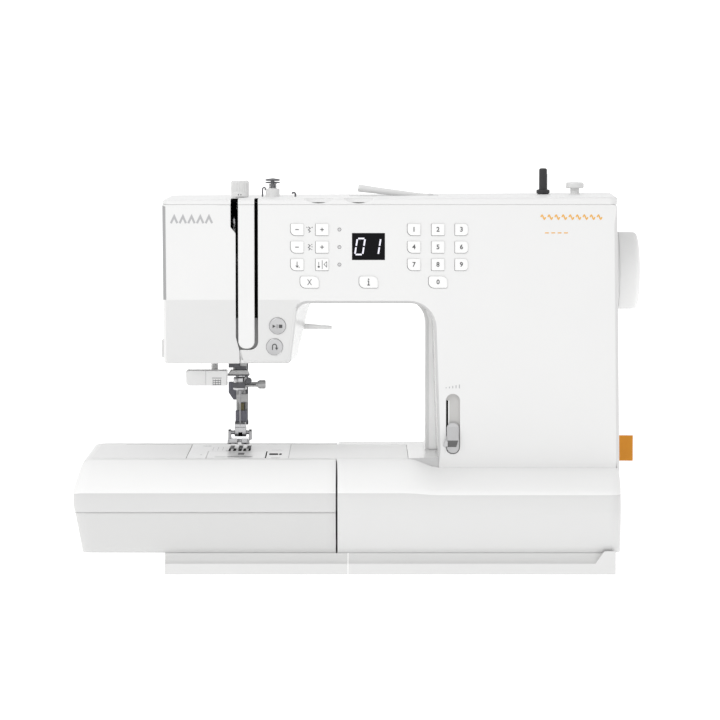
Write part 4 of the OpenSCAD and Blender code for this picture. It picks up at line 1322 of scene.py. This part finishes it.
def make_plinth():
    """Base with an outer band, a cove under the skirt and a raised corner at its right end."""
    low = box_mm("base_plinth")[0]
    y0, end = low.y, PLINTH_END
    cove = [(y0 + 0.2, 8.3), (y0 + 2.0, 8.9), (y0 + 3.4, 10.3), (y0 + 4.2, 12.2), (y0 + 4.6, 15.4)]
    outer = [(y0, 0.3), (y0, 8.0)] + cove + [(78.0, 15.4), (78.0, 0.3)]
    inner = [(75.5, 0.3), (75.5, 12.6), (y0 + 12.0, 12.6), (y0 + 2.6, 6.0), (y0 + 2.6, 0.3)]
    bm = bmesh.new()
    for x0, x1 in ((low.x, PLINTH_SEAM - 0.2), (PLINTH_SEAM + 0.2, end)):
        prism(bm, outer + inner, sideways, x0, x1)
    for x0, x1 in ((low.x, low.x + 2.5), (end - 2.5, end)):
        prism(bm, inset(anticlockwise(outer), 0.1), sideways, x0 + 0.05, x1 - 0.05)
    for top, near, far in ((17.3, 0.0, 3.4), (15.5, 0.6, 9.0)):
        post = rounded([(end - 15.5 + near, 7.0 + near, 0.2), (end - 0.02 - near, 7.0 + near, 0.2),
                        (end - 0.02 - near, top, 1.0), (end - 8.2 + near, top, 3.0)])
        prism(bm, post, facing_front(y0 - 0.02), near, far, 0.2)
    # painted shade: the plinth's band is darker than the shell's white
    shell = solid("plinth_shell", bm, "plinth_painted_shade", replaces=["base_plinth"], angle=40)
    # painted shade on the cove under the skirt
    paint(shell, "cove_painted_shade", lambda c, n: c.z > 8.2 and n.y < -0.05 and c.x < end - 9.0 and c.y > y0 + 0.3)


# ---- fittings ----

def make_handwheel():
    low, high = wheel_low, wheel_high
    axis_y, axis_z = (low.y + high.y) / 2, (low.z + high.z) / 2
    depth = high.x - low.x
    r = (high.z - low.z) / 2
    profile = [(5.0, 0.0), (r - 0.3, 0.0), (r - 0.1, 0.1), (r, 0.4), (r, 3.0), (r, 9.0), (r - 0.1, 11.4),
               (r - 0.5, 12.7), (r - 1.2, 13.5), (r - 2.4, 14.1), (r - 5.0, 14.8), (r - 9.0, 15.4),
               (r - 13.0, depth - 0.3), (r - 16.0, depth), (9.0, depth - 0.4), (5.0, depth - 0.8)]
    place = pointing_right(low.x, axis_y, axis_z)
    bm = bmesh.new()
    lathe(bm, profile, place, 96, tube=True)
    # painted light: the wheel is a brighter white than the shell
    wheel = solid("handwheel_rim", bm, "crest_painted_light", "drive", replaces=["handwheel"], angle=50)
    # collar on the column that the wheel turns against
    bm = bmesh.new()
    lathe(bm, ((r - 0.2, -6.0), (r - 0.2, -0.08), (15.0, -0.08), (15.0, -6.0)), place, 96, tube=True)
    solid("wheel_collar", bm, "white_gloss")
    # finger dimple on the outer face
    bm = bmesh.new()
    bmesh.ops.create_uvsphere(bm, u_segments=32, v_segments=16, radius=1.0,
                              matrix=Matrix.Translation((high.x + 3.0, axis_y, axis_z + 16.5))
                              @ Matrix.Diagonal((7.0, 6.0, 6.0, 1)))
    cut(wheel, bm)


def make_tag():
    """Small woven tag sewn into the seam of the column's right side, left blank."""
    bm = bmesh.new()
    wave = [(0.0, 0.0), (2.5, 0.35), (5.0, 0.1), (7.5, -0.35), (10.2, -0.2)]
    low, high, thick, steps = 74.9, 93.9, 0.7, 6
    outline = [(u, v) for u, v in wave] + [(u, v + thick) for u, v in reversed(wave)]
    rings = []
    for k in range(steps + 1):
        z = low + (high - low) * k / steps
        rings.append([bm.verts.new((END_X + 2.3 + u, 0.5 + v, z)) for u, v in outline])
    loft(bm, rings)
    for end in (rings[0], rings[-1]):
        loft(bm, [end[:len(wave)], end[:len(wave) - 1:-1]], closed=False)
    solid("side_tag", bm, "tag_orange", angle=60)


def make_tension_dial():
    low, high = box_mm("tension_dial")
    mid = (low + high) / 2
    radius = (high.x - low.x) / 2
    bm = bmesh.new()
    teeth = 30
    base = 271.3

    def ribbed(r, depth):
        return [(mid.x + (r - depth * (0.5 - 0.5 * math.cos(teeth * a))) * math.cos(a),
                 mid.y + (r - depth * (0.5 - 0.5 * math.cos(teeth * a))) * math.sin(a))
                for a in (2 * math.pi * k / (teeth * 6) for k in range(teeth * 6))]

    levels = ((radius - 0.4, 0.0, base), (radius, 0.0, base + 0.4), (radius, 0.0, base + 3.0),
              (radius, 0.55, base + 3.6), (radius, 0.55, high.z - 1.2), (radius - 0.5, 0.2, high.z - 0.35),
              (radius - 1.3, 0.0, high.z), (radius - 3.5, 0.0, high.z - 0.35))
    rings = [ring(bm, ribbed(r, t), upwards, z) for r, t, z in levels]
    loft(bm, rings)
    cap(bm, [rings[0]])
    cap(bm, [rings[-1]])
    lathe(bm, ((3.0, low.z), (3.0, base + 0.2)), standing(mid.x, mid.y), 32)
    solid("tension_dial_knob", bm, "white_gloss", "tension_dial", replaces=["tension_dial"], angle=28)
    bm = bmesh.new()
    for side in (-0.9, 0.9):
        lathe(bm, ((0.0, 0.0), (0.45, 0.0), (0.45, 0.4)),
              pointing_back(mid.x + side, mid.y - radius - 0.06, base + 1.6), 16)
    solid("tension_dots", bm, "print_grey", "tension_dial")


def make_thread_guides():
    high = box_mm("thread_guides")[1]
    x, y = -64.5, 0.0
    bm = bmesh.new()
    lathe(bm, ((5.2, top_low.z + 2.5), (5.2, 276.4), (4.9, 276.9), (3.2, 277.0), (3.2, 277.2)),
          standing(x, y), 40)
    solid("pretension_post", bm, "white_gloss", replaces=["thread_guides"])
    bm = bmesh.new()
    turns, count = 3.0, 72
    path = []
    for k in range(count + 1):
        a = 2 * math.pi * turns * k / count
        path.append((x + 2.6 * math.cos(a), y + 2.6 * math.sin(a), 277.3 + 3.2 * k / count))
    wire(bm, path, 0.35)
    lathe(bm, ((0.4, 277.0), (1.4, 277.0), (1.4, 284.4), (0.4, high.z)), standing(x, y), 24)
    solid("pretension_spring", bm, "steel")
    bm = bmesh.new()
    for profile in (((1.4, 280.8), (5.2, 280.9), (5.5, 281.3), (5.0, 281.8), (1.4, 282.0)),
                    ((1.4, 282.5), (5.0, 282.6), (5.5, 283.2), (5.0, 283.9), (2.0, 284.3))):
        lathe(bm, profile, standing(x, y), 40)
    solid("pretension_discs", bm, "dark_metal")
    bm = bmesh.new()
    wire(bm, [(-72, 0, 268), (-72, 0, 276.6), (-71.4, 0, 277.5), (-70.2, 0, 277.6), (-69.8, 0, 276.6),
              (-70.2, 0, 275.8)], 0.55)
    wire(bm, [(-47.6, -6, 268), (-47.6, -6, 273.2), (-48.2, -6, 274.0), (-49.6, -6, 274.0),
              (-50.0, -6, 273.2)], 0.7)
    solid("thread_wires", bm, "dark_metal")


def make_spool_pin():
    bm = bmesh.new()
    pivot = Vector((PIN_AT[0], 10.0, PIN_AT[1]))
    lean = math.radians(7.5)
    along = Vector((-math.cos(lean), 0, math.sin(lean)))
    side = Vector((0, 1, 0))
    up = along.cross(side)
    profile = ((2.7, 2.0), (2.4, 5.0), (2.2, 12.0), (2.4, 40.0), (2.7, 51.0), (2.7, 53.0), (2.4, 53.8),
               (1.4, 54.0))
    lathe(bm, profile, lambda a, b, h: tuple(pivot + along * h + side * a + up * b), 32)
    lathe(bm, ((2.6, 7.2), (3.0, 7.6), (3.0, 12.4), (2.6, 12.8)),
          pointing_back(PIN_AT[0], 0, PIN_AT[1]), 32)
    solid("spool_pin_body", bm, "white_gloss", "spool_pin", replaces=["spool_pin"])


def make_winder():
    x, y = 136.1, 20.0
    low, high = box_mm("winder_spindle")
    place = standing(x, y)
    bm = bmesh.new()
    lathe(bm, ((3.0, low.z), (4.0, low.z + 0.3), (4.0, 272.6), (4.6, 272.8), (5.0, 273.2), (5.0, 274.9),
               (4.6, 275.5), (3.6, 275.7), (3.0, 276.0), (3.0, high.z - 1.2), (2.5, high.z - 0.3),
               (1.6, high.z)), place, 40)
    solid("winder_spindle_body", bm, "dark_plastic", "winder_spindle", replaces=["winder_spindle"])
    bm = bmesh.new()
    prism(bm, rect((x + 2.7, x + 3.25), (276.0, 287.5), 0.2, 3), frontways, y - 0.5, y + 0.5, 0.1)
    solid("winder_spring", bm, "steel", "winder_spindle")
    bm = bmesh.new()
    lathe(bm, ((3.4, 269.0), (3.4, 276.6), (6.2, 276.9), (6.8, 277.5), (6.9, 279.4), (6.4, 280.8),
               (5.0, 281.3), (0.5, 281.3)), standing(159.4, 15), 48)
    solid("winder_stop_cap", bm, "white_gloss", replaces=["winder_stop"])


def make_bed_marks():
    """Feed slots as black strips of painted shadow, engraved lines and the release of the bobbin cover, on
    the needle plate.
    """
    def line(points, width):
        ribbon(bm, points, width, facing_up(BED_Z + 0.02), 0.03)

    bm = bmesh.new()
    for x, wide in ((-96.6, 1.5), (-93.0, 2.0), (-85.6, 2.0), (-82.0, 1.5)):
        line([(x, -8.0), (x, 11.5)], wide)
    # the middle slot is open where the needle comes down
    for near, far in ((-8.0, 6.4), (9.6, 11.5)):
        line([(-89.0, near), (-89.0, far)], 2.4)
    line([(-99.6, -7.2), (-96.0, -7.2)], 1.6)
    line([(-84.6, -7.2), (-81.4, -7.2)], 1.6)
    line([(-68.7, -61.5), (-68.7, -11.0)], 0.8)
    # painted shadow: black strips for the feed slots
    solid("feed_slots_painted_shadow", bm, "painted_shadow_black", slot="brushed_plate")
    bm = bmesh.new()
    for k in range(3):
        line([(-102.0 - 3.6 * k, -4.0), (-102.0 - 3.6 * k, 22.0)], 0.3)
    line([(-117.6, 30.5), (-111.2, 30.5)], 2.2)
    line([(-117.0, -36.0), (-115.6, -36.0)], 1.6)
    for k in range(3):
        line([(-65.6 + 3.0 * k, 0.5), (-64.2 + 3.0 * k, -2.6), (-63.0 + 3.0 * k, 0.5)], 0.5)
    line([(-51.9, -62.5), (-51.9, 44.0)], 0.5)
    solid("plate_marks", bm, "print_light", slot="brushed_plate")
    bm = bmesh.new()
    line([(-176.0, 43.8), (-126.6, 43.8)], 0.9)
    solid("lid_seam", bm, "print_light", "accessory_tray")
    bm = bmesh.new()
    line([(-89.6, -29.0), (-85.0, -29.0)], 15.0)
    curve = [(-96.5 + 17.6 * k / 8, -52.0 + 4.0 * math.sin(math.pi * k / 8)) for k in range(9)]
    line(curve, 3.4)
    solid("cover_marks", bm, "print_grey", "bobbin_cover", slot="brushed_plate")
    bm = bmesh.new()
    for x, r in (((-66.6, -59.9), 1.6), ((-59.2, -57.4), 0.7)):
        prism(bm, rect(x, (-37.5, -27.0), r, 4), facing_up(BED_Z + 0.12), 0.0, 1.2, 0.1)
    # painted shadow black in the recesses of the cover's release
    solid("cover_release", bm, "painted_shadow_black")


def make_needle_parts():
    """Clamp, screw, needle, presser foot and its holder, in the shape that the CAD reserves."""
    x, y = -89.2, 8.0
    upright = standing(x, y)
    bm = bmesh.new()
    lathe(bm, ((3.3, 137.0), (4.4, 136.8), (5.0, 136.0), (5.0, 133.5), (4.6, 133.1), (4.6, 129.2),
               (5.0, 128.8), (5.0, 127.6), (3.6, 127.0), (1.2, 126.9)), upright, 40)
    solid("clamp_body", bm, "chrome", "needle", replaces=["needle_clamp"])
    bm = bmesh.new()
    lathe(bm, ((1.8, 2.0), (1.8, 13.0), (2.6, 13.2), (2.6, 13.8), (3.0, 14.0), (3.2, 14.6), (3.2, 18.2),
               (2.9, 19.0), (1.2, 19.2)), pointing_right(x, y, 131.2), 32)
    solid("clamp_screw", bm, "guide_grey", "needle")
    bm = bmesh.new()
    block(bm, (x - 5.0, x + 4.0), (y - 6.0, y - 4.2), (129.2, 132.8))
    block(bm, (x + 4.2, x + 12.0), (y - 3.4, y - 1.6), (130.9, 131.5))
    lathe(bm, ((0.5, 0.0), (2.4, 0.2), (2.4, 1.6), (0.5, 1.8)), pointing_back(x + 6.5, y - 6.4, 134.4), 24)
    solid("clamp_guide", bm, "dark_metal", "needle", bevel=0.3)
    bm = bmesh.new()
    lathe(bm, ((0.9, 128.0), (0.9, 118.0), (0.45, 116.0), (0.42, 104.0), (0.3, 102.0), (0.04, 100.0)),
          upright, 20)
    solid("needle_shank", bm, "steel", "needle")

    # snap-on holder on the presser bar
    bm = bmesh.new()
    hold = rounded([(15.0, 98.2, 0.6), (29.0, 98.2, 1.5), (29.0, 102.0, 1.0), (25.5, 103.0, 1.0),
                    (17.0, 103.0, 2.5), (15.0, 101.0, 1.0)])
    prism(bm, hold, sideways, x - 4.3, x + 3.9, 0.5)
    hook = rounded([(14.8, 98.6, 0.3), (14.8, 92.6, 1.6), (18.0, 91.3, 1.5), (21.4, 92.4, 1.5),
                    (23.0, 98.6, 0.3)])
    prism(bm, hook, sideways, x - 4.4, x + 4.4, 0.4)
    solid("foot_holder", bm, "chrome", "presser_bar", replaces=["presser_bar"])
    bm = bmesh.new()
    lathe(bm, ((3.3, 104.0), (3.3, 244.0)), standing(x, 24), 32)
    block(bm, (-86.0, -83.9), (22.0, 27.0), (103.6, 117.0))
    solid("presser_rod", bm, "bar_grey", "presser_bar", bevel=0.2)
    boxes("presser_bracket", "guide_grey", [((-91.9, -83.9), (18.0, 22.0), (117.0, 123.2))], "presser_bar",
          slot="steel", bevel=0.4)
    boxes("presser_bush", "brass_dark", [((-90.4, -86.6), (18.6, 21.0), (110.8, 116.4))], "presser_bar",
          bevel=0.3)
    bm = bmesh.new()
    block(bm, (-92.9, -84.2), (17.6, 21.0), (102.4, 110.8))
    for u in (-91.4, -88.4, -86.2):
        block(bm, (u, u + 0.7), (17.2, 17.8), (102.8, 110.4))
    solid("presser_shank", bm, "violet_grey", "presser_bar", bevel=0.3)
    # painted shadow: a black block in the holder's hook opening
    boxes("hook_opening_painted_shadow", "painted_shadow_black", [((-90.7, -87.7), (14.4, 14.9), (92.0, 94.8))], "presser_bar")
    low, high = box_mm("presser_foot")
    toe, sole = low.y, low.z
    bm = bmesh.new()

    def shoe(u, v, d):
        lift = max(0.0, (toe + 7.0 - v) / 7.0)
        return (u, v, sole + 2.6 - d + 3.0 * lift * lift * (0.5 if d > 1 else 0.75))

    plan = rounded([(low.x, toe, 2.6), (x - 1.4, toe, 0.8), (x - 1.2, 3.6, 0.5), (x - 4.2, 4.2, 0.6),
                    (x - 4.2, 11.8, 1.2), (x + 4.2, 11.8, 1.2), (x + 4.2, 4.2, 0.6), (x + 1.2, 3.6, 0.5),
                    (x + 1.4, toe, 0.8), (high.x, toe, 2.6), (high.x, 29.8, 1.5), (low.x, 29.8, 1.5)], 4)
    prism(bm, subdivided(anticlockwise(plan), 2.5), shoe, 0.0, 2.6, 0.3)
    for side in (-1, 1):
        ear = rounded([(13.0, sole + 2.0, 0.2), (24.0, sole + 2.0, 0.2), (20.8, 96.9, 2.2),
                       (15.3, 96.9, 2.2)])
        middle = x + side * 7.9 - (0.1 if side < 0 else 0.4)
        prism(bm, ear, sideways, middle - 1.1, middle + 1.1, 0.3)
    lathe(bm, ((1.5, -7.6), (1.5, 7.0)), pointing_right(x, 18, 94.5), 24)
    solid("foot_shoe", bm, "chrome", "presser_foot", replaces=["presser_foot"])
    bm = bmesh.new()
    for u in (low.x + 1.0, high.x - 4.6):
        block(bm, (u, u + 3.6), (toe + 0.4, toe + 3.0), (sole + 2.4, sole + 4.4))
    solid("toe_marks", bm, "dark_metal", "presser_foot", bevel=0.3)

    # dual-feed arm with its grey foot
    bm = bmesh.new()
    arm = rounded([(34.0, 172.0, 1.0), (39.0, 172.0, 1.0), (39.0, 118.0, 3.0), (36.2, 108.0, 2.0),
                   (35.4, 99.0, 0.5), (32.5, 99.0, 0.5), (32.5, 106.0, 1.0), (34.0, 120.0, 3.0)])
    prism(bm, arm, sideways, -91.5, -84.0, 0.6)
    lathe(bm, ((2.0, 0.0), (4.5, 0.4), (4.5, 12.6), (2.0, 13.0)), pointing_right(-96, 36.5, 168), 32)
    prism(bm, rounded([(-93.4, 99.0, 0.6), (-83.8, 99.0, 0.6), (-83.8, 103.0, 1.2), (-93.4, 103.0, 1.2)]),
          frontways, 32.4, 36.0, 0.3)
    solid("dual_feed_body", bm, "dark_metal", "dual_feed_arm", replaces=["dual_feed_arm"])
    bm = bmesh.new()
    prism(bm, rounded([(-98.6, 123.0, 0.5), (-95.0, 117.6, 0.5), (-90.6, 117.6, 0.5), (-90.6, 131.0, 0.5),
                       (-98.6, 131.0, 0.5)]),
          frontways, 34.2, 38.2, 0.4)
    solid("dual_feed_cheek", bm, "violet_grey", "dual_feed_arm", slot="dark_metal")
    bm = bmesh.new()
    for u in (-92.6, -90.4, -88.4, -86.4):
        block(bm, (u, u + 0.9), (33.2, 34.4), (110, 124))
    block(bm, (-93.6, -85.4), (33.0, 34.4), (126.0, 131.0))
    solid("dual_feed_ribs", bm, "steel", "dual_feed_arm", bevel=0.2)

    # underside of the head: guides round the bars
    boxes("bar_guide_dark", "dark_metal", [
        ((-97.2, -88.8), (-4.0, 2.8), (144.6, 147.6)),
        ((-92.3, -83.8), (-3.0, 2.8), (142.2, 145.4)),
        ((-98.0, -81.8), (-5.8, 2.8), (138.6, 139.4))], bevel=0.3)
    bm = bmesh.new()
    cone = [(-95.6, 142.8), (-98.0, 139.4), (-81.8, 139.4), (-83.2, 142.8)]
    prism(bm, cone, frontways, -5.4, 2.6, 0.3)
    block(bm, (-94.0, -84.0), (-2.0, 2.4), (142.6, 151.0))
    solid("thread_guide_plate", bm, "guide_grey")


def make_threader():
    low, high = box_mm("needle_threader")
    bm = bmesh.new()
    grip = rounded([(low.x, 131.9, 3.0), (-97.7, 131.9, 0.6), (-97.7, 143.7, 0.6), (low.x, 143.7, 2.0)])
    prism(bm, grip, facing_front(low.y), 0.0, 5.0, 0.8)
    block(bm, (-112.0, -104.5), (low.y + 4.0, 11.0), (134.0, 142.0))
    lathe(bm, ((2.5, 134.0), (2.5, high.z)), standing(-108, 8), 28)
    # painted light: the threader lever gets the brighter white
    solid("threader_lever", bm, "white_painted_light", "needle_threader", replaces=["needle_threader"])
    bm = bmesh.new()
    face = facing_front(low.y - 0.02)
    for k in range(3):
        ribbon(bm, [(-108.6, 132.7 + 1.5 * k), (-102.6, 132.7 + 1.5 * k)], 0.7, face)
    for k in range(4):
        ribbon(bm, [(-108.4 + 1.9 * k, 132.4), (-108.4 + 1.9 * k, 136.6)], 0.5, face)
    ribbon(bm, [(-109.1, 137.6), (-102.1, 137.6)], 0.6, face)
    ribbon(bm, [(-113.7, 132.6), (-113.7, 143.0)], 0.25, face)
    solid("threader_mark", bm, "print_light", "needle_threader")


def make_foot_lever():
    high = box_mm("presser_lever")[1]
    bm = bmesh.new()
    arm = rounded([(-76, 184, 2), (-64, 184, 4), (-52, 175.2, 6), (-40, 174.4, 2), (high.x, 172.9, 0.5),
                   (high.x, 170.4, 0.5), (-40, 170.6, 4), (-66, 172, 4), (-76, 172, 2)], 5)
    prism(bm, subdivided(anticlockwise(arm), 6), frontways, 36.0, 43.0, 0.5)
    lathe(bm, ((3.0, 0.0), (6.6, 0.3), (7.0, 0.8), (7.0, 9.2), (6.6, 9.7), (3.0, 10.0)),
          pointing_back(-70, 34.5, 178), 40)
    # painted light: the foot lever gets the brighter white
    solid("foot_lever", bm, "white_painted_light", "presser_lever", replaces=["presser_lever"])


def make_handle():
    low, high = box_mm("carry_handle")
    pivot_y = BACK_Y + 8.2
    bm = bmesh.new()
    section = rounded([(BACK_Y + 3, 212, 5), (88, 212, 6), (88, 226, 6), (BACK_Y + 3, 226, 5)])
    prism(bm, section, sideways, low.x, high.x, 2.2)
    for x in (low.x, high.x - 12):
        arm = rounded([(pivot_y - 5, 216, 1), (pivot_y + 5, 216, 1), (pivot_y + 5, 263, 4.8),
                       (pivot_y - 5, 263, 4.8)])
        prism(bm, arm, sideways, x + 0.4, x + 11.6, 1.2)
    solid("handle_grip", bm, "white_gloss", "carry_handle", replaces=["carry_handle"])


def make_screws():
    for k, (x, z) in enumerate(((-72, 170), (-72, 205), (80, 40), (176, 40), (176, 205), (80, 205))):
        bm = bmesh.new()
        lathe(bm, ((0.5, 0.0), (3.4, 0.0), (3.4, 0.7), (2.8, 1.25), (1.2, 1.4)),
              pointing_back(x, BACK_Y, z), 28)
        head = solid(f"screw_{k + 1}", bm, "steel", replaces=["cover_screws"] if k == 0 else ())
        for u, v in (((x - 2.2, x + 2.2), (z - 0.4, z + 0.4)), ((x - 0.4, x + 0.4), (z - 2.2, z + 2.2))):
            bm = bmesh.new()
            block(bm, u, (BACK_Y + 0.7, BACK_Y + 2.0), v)
            cut(head, bm)


def finish_nodes():
    """CAD nodes that show as they are, each with its material and the width of its softened edges."""
    for name, material, bevel in (
            ("rubber_feet", "rubber_grey", 0.5), ("free_arm", "light_grey", 0.5),
            ("needle_plate", "brushed_plate", 0.15), ("bobbin_cover", "brushed_plate", 0.2),
            ("main_frame", "cast_frame", 0.6), ("drive_motor", "motor_dark", 0.3),
            ("display_module", "display_black", 0.0), ("inlet_panel", "dark_plastic", 0.3),
            ("main_shaft", "steel", 0.3), ("motor_pulley", "steel", 0.2), ("lower_shaft", "steel", 0.3),
            ("rotary_hook", "steel", 0.2), ("bobbin", "bobbin_clear", 0.15), ("needle_bar", "chrome", 0.3),
            ("take_up_lever", "chrome", 0.25), ("feed_dog", "steel", 0.05),
            ("power_switch", "dark_plastic", 0.3)):
        finish_node(name, material, bevel)


for make in (make_camera, make_studio, finish_nodes, make_front_cover, make_face_cover, make_rear_cover,
             make_top_cover, make_lower_cover, make_tray, make_plinth):
    make()
for key in KEY_NAMES:
    make_key(key)
make_key_marks()
make_fascia_marks()
make_display()
make_round_button("start_stop_button", start_stop_mark)
make_round_button("reverse_button", reverse_mark)
for make in (make_slider, make_handwheel, make_tag, make_tension_dial, make_thread_guides, make_spool_pin,
             make_winder, make_bed_marks, make_needle_parts, make_threader, make_foot_lever, make_handle,
             make_screws):
    make()
